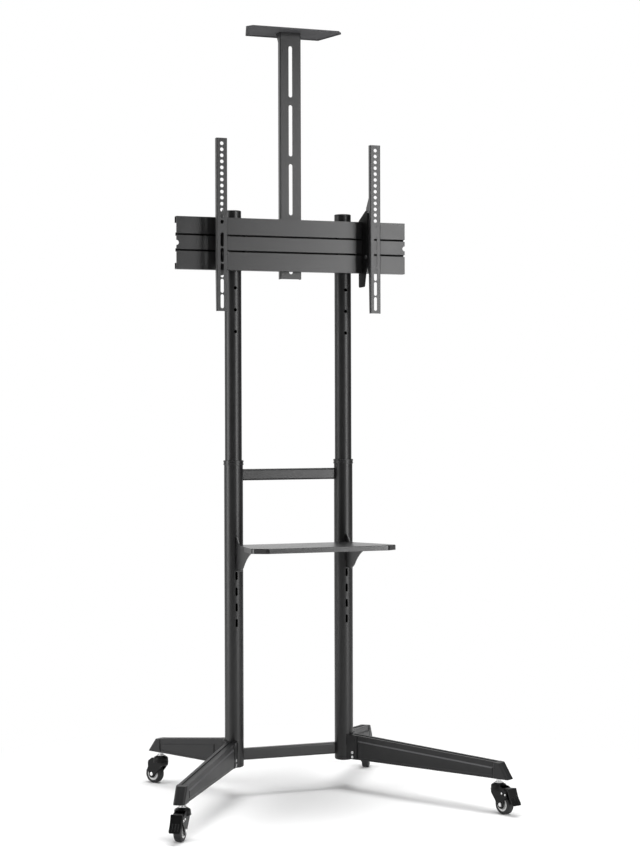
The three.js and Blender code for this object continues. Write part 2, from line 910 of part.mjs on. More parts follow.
// A bracket with two hooks in the tube's slots, and an arm that rises to the front under the shelf.
function shelfBracket(x) {
  const back = -(lowerTubeRadius + fitGap);
  const top = topShelfSlotHeight + bracketTopRise;
  const foot = top - bracketHeight;
  const underside = (y) =>
    shelfBackHeight + (shelfBack - y) * Math.tan(shelfSlope) - (shelfSheet + fitGap) / Math.cos(shelfSlope);
  const neck = shelfBack - shelfNotchDepth + fitGap;
  const tip = shelfBack - shelfDepth + bracketArmTip;
  const curve = bracketCurveShares.map(([reachShare, riseShare]) => [
    back - bracketFootReach - reachShare * bracketArmReach,
    foot + riseShare * bracketArmRise,
  ]);
  const hooks = [topShelfSlotHeight - shelfSlotPitch, topShelfSlotHeight].flatMap((z) => {
    const half = shelfSlotHeight / 2 - bracketHookMargin;
    const wallInside = -lowerTubeInner + fitGap;
    const reach = wallInside + bracketHookThickness;
    return [
      [back, z - half],
      [wallInside, z - half],
      [wallInside, z - half - bracketHookTongue],
      [reach, z - half - bracketHookTongue],
      [reach, z + half],
      [back, z + half],
    ];
  });
  const outline = [
    [back, foot],
    ...hooks,
    [back, top],
    [back - bracketHeadWidth, top],
    [neck, Math.max(top - bracketHeadSlope, underside(neck))],
    [neck, underside(neck)],
    [tip, underside(tip)],
    [tip, underside(tip) - bracketArmDepth],
    ...curve.reverse(),
  ];
  return prismX(outline, x - bracketSheet / 2, x + bracketSheet / 2);
}

// A leg lies along its own X axis from the column's axis, and tapers in a straight line to its end.
function legShape(stemAt, overhang, rootHeight, endHeight) {
  const reach = stemAt + overhang;
  const bottom = (at) => legFoot + ((legEndFoot - legFoot) * at) / reach;
  const top = (at) => bottom(at) + rootHeight + ((endHeight - rootHeight) * at) / reach;
  return { reach, stemAt, endStart: reach - legEndLength, top, bottom };
}

const frontStemAt = Math.hypot(frontStemSpread, frontStemY);
const backStemAt = Math.hypot(backStemSpread, backStemY);
const frontLegShape = legShape(frontStemAt, frontLegOverhang, frontLegRootHeight, frontLegEndHeight);
const backLegShape = legShape(backStemAt, backLegOverhang, backLegRootHeight, backLegEndHeight);

// The saddle of a leg wraps the column from the leg round to the stand's side, turn degrees away.
function saddle(shape, turn) {
  const seam = Math.sign(turn) * THREE.MathUtils.radToDeg(fitGap / saddleRadius);
  const outline = [[0, 0], ...arc(0, 0, saddleRadius, 0, turn - seam, saddleSteps)];
  return prismZ(outline, shape.bottom(0), shape.top(saddleRadius));
}

function legBeam(shape, turn) {
  const { endStart, top, bottom } = shape;
  const end = endStart - fitGap;
  const side = [
    [0, bottom(0)],
    [end, bottom(end)],
    [end, top(end)],
    [0, top(0)],
  ];
  const recessStart = legPanelStart - legPanelGap;
  const recess = [
    [recessStart, bottom(0) - cutOverrun],
    [end + cutOverrun, bottom(0) - cutOverrun],
    [end + cutOverrun, top(0) + cutOverrun],
    [recessStart, top(0) + cutOverrun],
  ];
  const panelEnd = end - legPanelGap;
  const panel = [
    [legPanelStart, bottom(legPanelStart) + legPanelRootFoot],
    [panelEnd, bottom(panelEnd) + legPanelEndFoot],
    [panelEnd, top(panelEnd) - legPanelEndRim],
    [legPanelStart, top(legPanelStart) - legPanelRootRim],
  ];
  const half = legWidth / 2;
  const slopeAt = (depth) => inset(panel, (legPanelSlope * (legPanelDepth - depth)) / legPanelDepth);
  // What is taken off one flank, which leaves its panel raised between sloping edges.
  const flank = (sign) => {
    const face = span(sign * (half - legPanelDepth), sign * (half + weldOverlap / 2));
    const deep = legPanelDepth + weldOverlap;
    const raised = taperedY(
      slopeAt(deep),
      slopeAt(-weldOverlap),
      sign * (half - deep),
      sign * (half + weldOverlap),
    );
    return cut(prismY(recess, ...face), raised);
  };
  const groove = [
    [legGrooveStart, top(legGrooveStart) - legGrooveDepth],
    [end + cutOverrun, top(end + cutOverrun) - legGrooveDepth],
    [end + cutOverrun, top(end) + cutOverrun],
    [legGrooveStart, top(legGrooveStart) + cutOverrun],
  ];
  return cut(
    joined(prismY(side, -half, half), saddle(shape, turn)),
    flank(-1),
    flank(1),
    prismY(groove, -legGrooveWidth / 2, legGrooveWidth / 2),
    prismZ(
      circle(0, 0, lowerTubeRadius + fitGap, tubeFacets),
      bottom(0) - cutOverrun,
      top(0) + cutOverrun,
    ),
  );
}

// The block at the leg's end, with the socket for the caster's stem.
function legEndBlock(shape) {
  const { reach, stemAt, endStart, top, bottom } = shape;
  const tipTop = reach - legEndSlant;
  const side = [
    [endStart, bottom(endStart)],
    [reach, bottom(reach)],
    [tipTop, top(tipTop)],
    [endStart, top(endStart)],
  ];
  const half = legWidth / 2;
  const socketTop = bottom(stemAt) + stemInsertion + fitGap;
  const socket = circle(stemAt, 0, stemRadius + fitGap, holeFacets);
  return cut(prismY(side, -half, half), prismZ(socket, bottom(0) - cutOverrun, socketTop));
}

// A screw in the leg's inner side, in the frame of the leg. Sign gives the inner side.
function legScrew(sign, z) {
  const face = (sign * legWidth) / 2;
  const seat = face + sign * fitGap;
  const tip = face - sign * legScrewLength;
  const shank = circle(legScrewReach, z, legScrewRadius, holeFacets);
  const head = circle(legScrewReach, z, legScrewHeadRadius, holeFacets);
  return joined(
    prismY(shank, ...span(tip, seat + sign * fitGap)),
    prismY(head, ...span(seat, seat + sign * legScrewHeadLength)),
  );
}

function legScrewBore(sign, z) {
  const face = (sign * legWidth) / 2;
  const bore = circle(legScrewReach, z, legScrewRadius + fitGap, holeFacets);
  return prismY(bore, ...span(face - sign * (legScrewLength + fitGap), face + sign * cutOverrun));
}

function legScrewHeights(shape) {
  const low = shape.bottom(legScrewReach) + legScrewLow;
  return [low, low + legScrewSpacing];
}

// The wheel in its own frame: it turns round the Y axis through the origin.
function wheel() {
  const half = wheelWidth / 2;
  const bore = axleRadius + wheelBoreGap;
  const face = [
    [bore, half * dishShare],
    [wheelRadius * dishRimShare, half * dishShare],
    [wheelRadius * shoulderShare, half],
    [wheelRadius, half * treadShare],
  ];
  const lower = face.map(([radius, z]) => [radius, -z]);
  // The wheel stands on one of its flats, so its corners lie a little further out.
  const halfTurn = Math.PI / wheelFacets;
  const loop = [...lower, ...face.reverse(), lower[0]];
  const profile = loop.map(([radius, z]) => [radius / Math.cos(halfTurn), z]);
  return turned(profile, wheelFacets).rotateZ(halfTurn).rotateX(Math.PI / 2);
}

function axle() {
  const seat = forkInnerWidth / 2 + forkSheet + fitGap;
  const profile = [
    [0, -seat - axleHeadLength],
    [axleHeadRadius, -seat - axleHeadLength],
    [axleHeadRadius, -seat],
    [axleRadius, -seat],
    [axleRadius, seat],
    [axleHeadRadius, seat],
    [axleHeadRadius, seat + axleHeadLength],
    [0, seat + axleHeadLength],
  ];
  return turned(profile, holeFacets).rotateX(Math.PI / 2);
}

// The fork in the caster's own frame: the stem's axis is Z, and the wheel trails along X.
function fork(cheekTail) {
  const inner = forkInnerWidth / 2;
  const half = inner + forkSheet;
  const hoodBottom = forkTop - hoodHeight;
  const hood = turned(
    [
      [0, hoodBottom],
      [hoodRadius, hoodBottom],
      [hoodRadius, forkTop - hoodChamfer],
      [hoodRadius - hoodChamfer, forkTop],
      [forkHeadRadius, forkTop],
      [forkHeadRadius, forkTop + forkHeadRise],
      [0, forkTop + forkHeadRise],
    ],
    wheelFacets,
  );
  const tail = wheelTrail + cheekTail;
  const cheek = [
    [-cheekNose, cheekNoseHeight],
    ...arc(wheelTrail, wheelRadius, cheekEar, cheekEarStart, cheekEarEnd, smallArcSteps + 1),
    [wheelTrail + cheekWaist, cheekWaistHeight],
    [tail, cheekTailHeight],
    [tail, cheekTailTop],
    [hoodRadius, forkTop - forkTopSheet],
    [-cheekNose, forkTop - forkTopSheet],
  ];
  const roomRadius = hoodRadius - forkSheet;
  const noseAngle = THREE.MathUtils.radToDeg(Math.asin(inner / roomRadius));
  const room = [
    ...arc(0, 0, roomRadius, 180 - noseAngle, 180 + noseAngle, smallArcSteps),
    [tail + cutOverrun, -inner],
    [tail + cutOverrun, inner],
  ];
  return cut(
    joined(hood, prismY(cheek, -half, half)),
    prismZ(room, -cutOverrun, forkTop - forkTopSheet),
    prismZ(
      circle(0, 0, stemRadius + fitGap, holeFacets),
      forkTop - forkTopSheet - cutOverrun,
      forkTop + forkHeadRise + cutOverrun,
    ),
    prismY(
      circle(wheelTrail, wheelRadius, axleRadius + fitGap, holeFacets),
      -half - cutOverrun,
      half + cutOverrun,
    ),
  );
}

// The stem: its flange lies under the leg, and its rivet holds the fork from inside.
function stem(legUnderside) {
  const flangeTop = legUnderside - fitGap;
  const headTop = forkTop + forkHeadRise + fitGap;
  const rivetTop = forkTop - forkTopSheet - fitGap;
  const profile = [
    [0, rivetTop - stemRivetThickness],
    [stemRivetRadius, rivetTop - stemRivetThickness],
    [stemRivetRadius, rivetTop],
    [stemRadius, rivetTop],
    [stemRadius, headTop],
    [stemFlangeRadius, headTop],
    [stemFlangeRadius, headTop + stemFlangeThickness],
    [stemNeckRadius, headTop + stemFlangeThickness],
    [stemNeckRadius, flangeTop],
    [stemRadius, flangeTop],
    [stemRadius, flangeTop + stemInsertion],
    [0, flangeTop + stemInsertion],
  ];
  return turned(profile, holeFacets);
}

// The brake pedal in the caster's frame: it hangs behind the tyre from a hub between the fork's cheeks.
function brakePedal() {
  const half = pedalWidth / 2;
  const armHalf = forkInnerWidth / 2 - fitGap;
  const top = wheelTrail + wheelRadius + pedalTyreGap;
  const skirtHeight = pedalTop - pedalSkirtDrop;
  const foot = pedalTop - pedalHeight;
  const plate = [
    [top - pedalSheet, pedalTop - pedalSheet],
    [top + pedalSkirtRun - pedalSheet, skirtHeight],
    [top + pedalFlareRun - pedalSheet, foot],
    [top + pedalFlareRun, foot],
    [top + pedalSkirtRun, skirtHeight],
    [top, pedalTop],
    [top - pedalSheet, pedalTop],
  ];
  const arm = [
    [pedalPivotReach, pedalPivotHeight],
    [top - weldOverlap, pedalTop - pedalArmThickness],
    [top - weldOverlap, pedalTop],
    [pedalPivotReach, pedalPivotHeight + pedalHubRadius],
  ];
  const hub = circle(pedalPivotReach, pedalPivotHeight, pedalHubRadius, roundFacets);
  return joined(prismY(plate, -half, half), prismY(arm, -armHalf, armHalf), prismY(hub, -armHalf, armHalf));
}

const stand = new THREE.Group();

for (const { name, sign } of sides) {
  const x = sign * columnX;
  node(stand, name + "_lower_column", tubeCoat, lowerColumn(x));
  node(stand, name + "_column_foot", blackPlastic, columnFoot(x));
  node(stand, name + "_collar", blackPlastic, collar(x));
  node(stand, name + "_collar_screw", zinc, collarScrew(x));
  node(stand, name + "_upper_column", tubeCoat, upperColumn(x));
  node(stand, name + "_top_cap", blackPlastic, topCap(x));
  node(stand, name + "_sleeve_bolt", zinc, sleeveBolt(x));
  node(stand, name + "_shelf_bracket", powderCoat, shelfBracket(x));
}
node(stand, "upper_crossbar", powderCoat, crossbar(upperCrossbarHeight));
node(stand, "lower_crossbar", powderCoat, crossbar(lowerCrossbarHeight));
node(stand, "wall_plate", powderCoat, mountingPlate());
node(stand, "camera_post", powderCoat, cameraPost());
node(stand, "camera_tray", powderCoat, cameraTray());
postStudHeights().forEach((z, i) => {
  node(stand, ["lower", "upper"][i] + "_post_bolt", zinc, postBolt(z));
});

const shelfFrame = new THREE.Group();
shelfFrame.position.set(0, shelfBack, shelfBackHeight);
shelfFrame.rotation.x = -shelfSlope;
node(shelfFrame, "shelf", powderCoat, shelfTray());
stand.add(shelfFrame);

for (const { name, sign } of sides) {
  const x = sign * railX;
  const tongue = sign < 0 ? leftTongueLength : tongueLength;
  node(stand, name + "_rail", powderCoat, rail(x, sign));
  node(stand, name + "_tilt_bracket", powderCoat, tiltBracket(x, sign, tongue));
  node(stand, name + "_tilt_bolt", zinc, tiltBolt(x, sign));
}

const front = { shape: frontLegShape, spread: frontStemSpread, stemY: frontStemY, inner: -1, braked: true };
const back = { shape: backLegShape, spread: backStemSpread, stemY: backStemY, inner: 1, braked: false };
const corners = [
  { name: "front_left", sign: -1, trail: frontLeftTrail, end: front },
  { name: "front_right", sign: 1, trail: frontRightTrail, end: front },
  { name: "back_left", sign: -1, trail: backLeftTrail, end: back },
  { name: "back_right", sign: 1, trail: backRightTrail, end: back },
];

for (const { name, sign, trail, end } of corners) {
  const { spread } = end;
  // The inner side of a leg faces the other leg of its pair, and the saddle lies on its outer side.
  const innerSide = sign * end.inner;
  const turn = -innerSide * THREE.MathUtils.radToDeg(Math.atan2(Math.abs(end.stemY), spread));
  const legFrame = new THREE.Group();
  legFrame.position.x = sign * columnX;
  legFrame.rotation.z = Math.atan2(end.stemY, sign * spread);
  const bores = [];
  if (end.braked) {
    legScrewHeights(end.shape).forEach((z, i) => {
      const screwName = name + ["_lower", "_upper"][i] + "_leg_screw";
      node(legFrame, screwName, zinc, legScrew(innerSide, z));
      bores.push(legScrewBore(innerSide, z));
    });
  }
  node(legFrame, name + "_leg", powderCoat, cut(legBeam(end.shape, turn), ...bores));
  node(legFrame, name + "_leg_end", powderCoat, legEndBlock(end.shape));
  stand.add(legFrame);

  const caster = new THREE.Group();
  caster.position.set(sign * (columnX + spread), end.stemY, 0);
  caster.rotation.z = THREE.MathUtils.degToRad(trail);
  node(caster, name + "_stem", zinc, stem(end.shape.bottom(end.shape.stemAt)));
  node(caster, name + "_fork", blackPlastic, fork(end.braked ? brakedCheekTail : plainCheekTail));
  node(caster, name + "_wheel", tyreRubber, wheel().translate(wheelTrail, 0, wheelRadius));
  node(caster, name + "_axle", zinc, axle().translate(wheelTrail, 0, wheelRadius));
  if (end.braked) {
    node(caster, name + "_brake_pedal", blackPlastic, brakePedal());
  }
  stand.add(caster);
}

// The part's origin is the middle of its footprint, on the floor.
stand.updateMatrixWorld(true);
const middle = new THREE.Box3().setFromObject(stand, true).getCenter(new THREE.Vector3());
stand.position.set(-middle.x, -middle.y, 0);

export default stand;
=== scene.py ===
import json
import math

import bmesh
import bpy
from mathutils import Matrix, Vector

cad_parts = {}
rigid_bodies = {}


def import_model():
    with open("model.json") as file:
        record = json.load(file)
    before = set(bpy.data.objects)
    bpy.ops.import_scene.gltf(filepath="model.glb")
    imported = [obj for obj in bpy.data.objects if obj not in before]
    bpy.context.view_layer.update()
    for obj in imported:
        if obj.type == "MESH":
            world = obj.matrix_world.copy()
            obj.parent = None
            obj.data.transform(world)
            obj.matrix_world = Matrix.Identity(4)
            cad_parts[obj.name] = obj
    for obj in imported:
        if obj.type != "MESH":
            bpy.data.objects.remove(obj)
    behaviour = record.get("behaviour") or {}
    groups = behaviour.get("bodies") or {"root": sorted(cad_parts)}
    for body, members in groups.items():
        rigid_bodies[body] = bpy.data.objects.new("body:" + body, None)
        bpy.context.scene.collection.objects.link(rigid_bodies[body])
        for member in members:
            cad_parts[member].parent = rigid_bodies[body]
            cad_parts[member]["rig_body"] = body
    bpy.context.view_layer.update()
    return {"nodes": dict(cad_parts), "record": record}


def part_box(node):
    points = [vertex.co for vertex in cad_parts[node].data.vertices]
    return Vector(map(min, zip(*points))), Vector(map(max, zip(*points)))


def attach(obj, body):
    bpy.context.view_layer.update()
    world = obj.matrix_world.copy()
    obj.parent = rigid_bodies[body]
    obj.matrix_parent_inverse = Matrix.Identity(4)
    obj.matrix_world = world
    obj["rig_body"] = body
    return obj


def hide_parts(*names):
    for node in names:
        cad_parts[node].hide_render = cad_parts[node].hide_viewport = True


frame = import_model()
nodes = frame["nodes"]

# Pieces are made in millimetres in a modelling frame, where the columns stand at X = -+COLUMN_X and
# Y = 0, X runs to the right, Y to the back and Z up from the floor. place() brings them to the row.
MM = 0.001
SIDES = {"left": -1, "right": 1}
CORNERS = [end + "_" + side for end in ("front", "back") for side in SIDES]

# The gap between fitted pieces, and how far a cutter reaches past what it cuts
GAP = 0.3
OVERRUN = 4.0

# Columns
COLUMN_X = 148.8
LOWER_R, LOWER_WALL = 24.0, 2.0
UPPER_R, UPPER_WALL = 21.5, 1.8
LOWER_Z = (80.0, 849.0)
UPPER_Z = (674.0, 1486.0)
SHELF_SLOTS_Z = [642.0 - 40.0 * i for i in range(6)]
LOW_SLOT_Z = 125.0

# The wall plate, whose node is kept, and the rails that tilt in front of it
PLATE_Z = (1335.0, 1467.0)
PLATE_FRONT, PLATE_REAR = -39.0, -21.8
GROOVES_Z = (1422.0, 1382.6)
RAIL_X, RAIL_WIDTH = 204.3, 28.0
RAIL_FRONT = -93.0
TILT_AXIS = (-73.0, 1374.0)
TILT_BORE_R = 4.3

# Where the modelling frame's origin lies in the row
left_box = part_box("left_lower_column")
right_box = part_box("right_lower_column")
OX = (left_box[0].x + right_box[1].x) / 2 / MM
OY = (left_box[0].y + left_box[1].y) / 2 / MM
TO_ROW = Matrix.Translation((OX * MM, OY * MM, 0)) @ Matrix.Scale(MM, 4)


def middle(name):
    """The middle of a node's box, in the modelling frame."""
    low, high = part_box(name)
    return (low + high) / 2 / MM - Vector((OX, OY, 0))


def body_of(name):
    return nodes[name]["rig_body"]


# Outlines: lists of points (u, v), or (u, v, radius) where rounded() is to round the corner
def arc(cu, cv, radius, start, end, steps):
    points = []
    for i in range(steps + 1):
        angle = math.radians(start + (end - start) * i / steps)
        points.append((cu + radius * math.cos(angle), cv + radius * math.sin(angle)))
    return points


def circle(cu, cv, radius, facets=32):
    return arc(cu, cv, radius, 0, 360, facets)[:-1]


def slot_outline(cu, cv, width, length, steps=10):
    radius = width / 2
    rise = length / 2 - radius
    return arc(cu, cv + rise, radius, 0, 180, steps) + arc(cu, cv - rise, radius, 180, 360, steps)


def rectangle(left, right, low, high):
    return [(left, low), (right, low), (right, high), (left, high)]


def mirrored(half, axis=0):
    """Completes an outline whose second half mirrors the first along an axis."""
    other = [list(point) for point in half[::-1]]
    for point in other:
        point[axis] = -point[axis]
    return half + other


def rounded(points, steps=5):
    result = []
    count = len(points)
    for i, point in enumerate(points):
        here = Vector(point[:2])
        radius = point[2] if len(point) > 2 else 0
        if not radius:
            result.append(tuple(here))
            continue
        before = (Vector(points[i - 1][:2]) - here).normalized()
        after = (Vector(points[(i + 1) % count][:2]) - here).normalized()
        half = before.angle(after) / 2
        reach = radius / math.tan(half)
        start, end = here + before * reach, here + after * reach
        centre = here + (before + after).normalized() * (radius / math.sin(half))
        for k in range(steps + 1):
            spoke = (start - centre).lerp(end - centre, k / steps)
            result.append(tuple(centre + spoke.normalized() * radius))
    return result


def inset(points, by):
    """Moves each side of an outline inwards."""
    if sum(a[0] * b[1] - b[0] * a[1] for a, b in zip(points, points[1:] + points[:1])) < 0:
        by = -by
    sides = []
    for a, b in zip(points, points[1:] + points[:1]):
        run = (Vector(b) - Vector(a)).normalized()
        sides.append((Vector(a) + Vector((-run.y, run.x)) * by, run))
    result = []
    for (a, u), (b, v) in zip(sides[-1:] + sides[:-1], sides):
        cross = u.x * v.y - u.y * v.x
        step = ((b - a).x * v.y - (b - a).y * v.x) / cross
        result.append(tuple(a + u * step))
    return result


# Shapes: pairs of vertices and faces, with the faces looking out
def facing_out(verts, faces):
    volume = 0.0
    for face in faces:
        a = Vector(verts[face[0]])
        for i in range(1, len(face) - 1):
            volume += a.dot(Vector(verts[face[i]]).cross(Vector(verts[face[i + 1]])))
    if volume < 0:
        faces = [face[::-1] for face in faces]
    return verts, faces


def prism(points, start, end, axis):
    """A prism along an axis from an outline in the other two axes."""
    count = len(points)
    lay = {
        "X": lambda u, v, t: (t, u, v),
        "Y": lambda u, v, t: (u, t, v),
        "Z": lambda u, v, t: (u, v, t),
    }[axis]
    verts = [lay(u, v, t) for t in (start, end) for u, v in points]
    faces = [list(range(count)), list(range(count, 2 * count))[::-1]]
    for i in range(count):
        j = (i + 1) % count
        faces.append([j, i, count + i, count + j])
    return facing_out(verts, faces)


def turned(profile, facets, closed=False):
    """A solid of revolution round Z from pairs of radius and height, open at the axis or a closed ring."""
    verts, rings, faces = [], [], []
    for radius, z in profile:
        if radius < 1e-6:
            rings.append([len(verts)] * facets)
            verts.append((0.0, 0.0, z))
            continue
        rings.append(list(range(len(verts), len(verts) + facets)))
        for i in range(facets):
            angle = 2 * math.pi * i / facets
            verts.append((radius * math.cos(angle), radius * math.sin(angle), z))
    steps = len(profile) if closed else len(profile) - 1
    for k in range(steps):
        a, b = rings[k], rings[(k + 1) % len(rings)]
        for i in range(facets):
            j = (i + 1) % facets
            face = []
            for index in (a[i], a[j], b[j], b[i]):
                if index not in face:
                    face.append(index)
            if len(face) > 2:
                faces.append(face)
    return facing_out(verts, faces)


def rod(radius, start, end, facets):
    return turned([(0, start), (radius, start), (radius, end), (0, end)], facets)


def moved(shape, matrix):
    verts, faces = shape
    return facing_out([tuple(matrix @ Vector(v)) for v in verts], faces)


def about_y(x, z, shape):
    """Lays a turned shape's axis along Y."""
    return moved(shape, Matrix.Translation((x, 0, z)) @ Matrix.Rotation(-math.pi / 2, 4, "X"))


def merged(*shapes):
    verts, faces = [], []
    for shape_verts, shape_faces in shapes:
        base = len(verts)
        verts.extend(shape_verts)
        faces.extend([[base + i for i in face] for face in shape_faces])
    return verts, faces


# Objects
def link(name, data):
    obj = bpy.data.objects.new(name, data)
    bpy.context.scene.collection.objects.link(obj)
    return obj


def solid(name, shape):
    mesh = bpy.data.meshes.new(name)
    mesh.from_pydata([tuple(v) for v in shape[0]], [], shape[1])
    mesh.update()
    return link(name, mesh)


def bake(obj):
    """Applies the modifiers of an object."""
    bpy.context.view_layer.update()
    evaluated = obj.evaluated_get(bpy.context.evaluated_depsgraph_get())
    mesh = bpy.data.meshes.new_from_object(evaluated)
    old = obj.data
    obj.modifiers.clear()
    obj.data = mesh
    bpy.data.meshes.remove(old)


def combine(obj, shape, operation):
    tool = solid("tool", shape)
    mod = obj.modifiers.new("boolean", "BOOLEAN")
    mod.operation = operation
    mod.solver = "MANIFOLD"
    mod.object = tool
    bake(obj)
    bpy.data.objects.remove(tool)


def cut(obj, *shapes):
    """Takes shapes, which don't overlap each other, away in one step."""
    combine(obj, merged(*shapes), "DIFFERENCE")


def keep_inside(obj, shape):
    combine(obj, shape, "INTERSECT")


def add(obj, shape):
    combine(obj, shape, "UNION")


def round_edges(obj, chosen, width, segments=6):
    """Rounds the edges for which chosen(a, b) holds."""
    bm = bmesh.new()
    bm.from_mesh(obj.data)
    edges = [edge for edge in bm.edges if chosen(*(v.co for v in edge.verts))]
    bmesh.ops.bevel(bm, geom=edges, offset=width, segments=segments, profile=0.5, affect="EDGES")
    bm.to_mesh(obj.data)
    bm.free()


def edged(obj, width, angle=30.0, segments=2):
    """Rounds the edges sharper than an angle, and gives the rounding the second material."""
    flat = obj.modifiers.new("flat", "DECIMATE")
    flat.decimate_type = "DISSOLVE"
    flat.angle_limit = math.radians(0.6)
    bevel = obj.modifiers.new("edges", "BEVEL")
    bevel.width = width
    bevel.segments = segments
    bevel.limit_method = "ANGLE"
    bevel.angle_limit = math.radians(angle)
    bevel.harden_normals = True
    bevel.material = 1
    return obj


def paint(mesh, coats):
    mesh.materials.clear()
    for material in coats:
        mesh.materials.append(material)


def place(obj, body, slot, *stands_for, matrix=None, coats=None):
    """Finishes a piece: paints and bakes it, brings it to the row and lets it ride on its body."""
    mesh = obj.data
    paint(mesh, coats or (COATS[slot], EDGES[slot]))
    for polygon in mesh.polygons:
        polygon.use_smooth = True
    mesh.set_sharp_from_angle(angle=math.radians(35))
    flat = obj.modifiers.new("normals", "WEIGHTED_NORMAL")
    flat.mode = "FACE_AREA"
    flat.weight = 100
    flat.keep_sharp = True
    bake(obj)
    obj.data.transform(TO_ROW @ (matrix or Matrix.Identity(4)))
    obj.data.name = obj.name
    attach(obj, body)
    if stands_for:
        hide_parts(*stands_for)


def dress(name, slot, width, coats=None):
    """A carried-over node gets rounded edges and its coat, with the wear of the edges in a second coat."""
    obj = nodes[name]
    paint(obj.data, coats or (COATS[slot], EDGES[slot]))
    weld = obj.modifiers.new("weld", "WELD")
    weld.merge_threshold = 1e-5
    edged(obj, width * MM, angle=28.0)


# Shader nodes
def node(tree, kind, inputs=None, **properties):
    """A new node. Each input is a constant or the output that feeds it."""
    made = tree.nodes.new("ShaderNode" + kind)
    for key, value in properties.items():
        setattr(made, key, value)
    for key, value in (inputs or {}).items():
        if isinstance(value, bpy.types.NodeSocket):
            tree.links.new(value, made.inputs[key])
        else:
            made.inputs[key].default_value = value
    return made


def math_node(tree, operation, *values, clamp=False):
    made = node(tree, "Math", dict(enumerate(values)), operation=operation, use_clamp=clamp)
    return made.outputs[0]


def split_axes(tree, vector):
    return node(tree, "SeparateXYZ", {0: vector}).outputs


def rising(tree, value, start, end):
    """Rises smoothly from zero at the start to one at the end."""
    span = {"Value": value, "From Min": start, "From Max": end}
    return node(tree, "MapRange", span, interpolation_type="SMOOTHSTEP").outputs["Result"]


# Materials
def coat(name, color, rough, grain=0.35, speckle=0.25, metal=0.0, scale=900.0, spread=0.14, shine=0.5):
    """Powder coat, plastic or plating: colour broken up by two noises, a pebbled bump and uneven gloss."""
    mat = bpy.data.materials.new(name)
    mat.use_nodes = True
    tree = mat.node_tree
    tree.nodes.clear()
    here = node(tree, "TexCoord").outputs["Object"]
    fine = node(tree, "TexNoise", {"Vector": here, "Scale": scale, "Detail": 3.0}).outputs["Fac"]
    wide = node(tree, "TexNoise", {"Vector": here, "Scale": 14.0, "Detail": 4.0}).outputs["Fac"]
    ramp = node(tree, "ValToRGB", {"Fac": math_node(tree, "MULTIPLY_ADD", fine, speckle, wide)})
    dark, light = ramp.color_ramp.elements
    dark.position, light.position = 0.35, 0.95
    dark.color = [c * (1 - spread) for c in color] + [1]
    light.color = [c * (1 + spread) for c in color] + [1]
    gloss = node(tree, "MapRange", {"Value": wide, "To Min": rough - 0.06, "To Max": rough + 0.08})
    bump = node(tree, "Bump", {"Height": fine, "Strength": grain, "Distance": 0.00012})
    surface = {
        "Base Color": ramp.outputs["Color"],
        "Roughness": gloss.outputs["Result"],
        "Normal": bump.outputs["Normal"],
        "Metallic": metal,
        "Specular IOR Level": shine,
    }
    node(tree, "OutputMaterial", {"Surface": node(tree, "BsdfPrincipled", surface).outputs["BSDF"]})
    return mat


def paint_light_and_shade(mat, mask, color, rougher=0.0):
    """Paints light or shade into a coat: changes its colour, and makes it rougher, where its mask is one."""
    tree = mat.node_tree
    shader = tree.nodes["Principled BSDF"]
    base, rough = shader.inputs["Base Color"], shader.inputs["Roughness"]
    here = mask(tree)
    colors = {0: here, 6: base.links[0].from_socket, 7: (*color, 1)}
    tree.links.new(node(tree, "Mix", colors, data_type="RGBA").outputs[2], base)
    if rougher:
        tree.links.new(math_node(tree, "MULTIPLY_ADD", here, rougher, rough.links[0].from_socket), rough)
    return mat


def groove_shade_mask(tree):
    """One inside the wall plate's two grooves, from just behind its face, where black shade is painted."""
    start, depth, half_height = OY + PLATE_FRONT + 0.5, 9.3, 3.0
    axes = split_axes(tree, node(tree, "TexCoord").outputs["Object"])
    heights = [math_node(tree, "COMPARE", axes["Z"], z * MM, half_height * MM) for z in GROOVES_Z]
    inside = math_node(tree, "COMPARE", axes["Y"], (start + depth / 2) * MM, depth / 2 * MM)
    return math_node(tree, "MULTIPLY", math_node(tree, "MAXIMUM", *heights), inside)


def panel_highlight_mask(tree):
    """One where a face slopes upwards like the upper edge of a leg's raised panels, where a highlight is
    painted.
    """
    rise, spread = 0.5, 0.15
    axes = split_axes(tree, node(tree, "NewGeometry").outputs["True Normal"])
    return math_node(tree, "COMPARE", axes["Z"], rise, spread)


def grey(value, blue=1.04):
    return (value, value, value * blue)


def worn(name, value, rough, **more):
    """The coat of rounded edges: paler, with coarse and uneven wear."""
    return coat(name + "_edge", grey(value), rough, scale=160.0, **{"spread": 0.5, **more})


PLATE = {"color": grey(0.012), "rough": 0.33, "grain": 0.25}
LEG = {"color": grey(0.014), "rough": 0.42, "grain": 0.25, "shine": 0.26}
COATS = {
    "tube_coat": coat("tube_coat", grey(0.006), 0.39, grain=0.15, shine=0.45),
    "powder_coat": coat("powder_coat", **PLATE),
    "leg_coat": coat("leg_coat", **LEG),
    "black_steel": coat("black_steel", grey(0.003), 0.4, grain=0.4, scale=160.0, shine=0.16),
    "black_plastic": coat("black_plastic", grey(0.003), 0.42, grain=0.3, shine=0.16),
    "zinc": coat("zinc", grey(0.62, 1.0), 0.3, grain=0.1, metal=1.0),
    "tyre": coat("tyre", grey(0.016), 0.5, grain=0.3, shine=0.3),
}
EDGES = {
    "tube_coat": worn("tube_coat", 0.018, 0.36),
    "powder_coat": worn("powder_coat", 0.024, 0.36),
    "leg_coat": worn("leg_coat", 0.020, 0.38),
    "black_steel": worn("black_steel", 0.014, 0.22),
    "black_plastic": worn("black_plastic", 0.012, 0.42, spread=0.4),
    "zinc": coat("zinc_edge", grey(0.7, 1.0), 0.25, grain=0.05, metal=1.0),
    "tyre": worn("tyre", 0.022, 0.55, spread=0.3, shine=0.3),
}
RIVET_COATS = [coat("rivet_steel", grey(0.8, 1.0), 0.5, grain=0.1, metal=1.0, spread=0.08)]
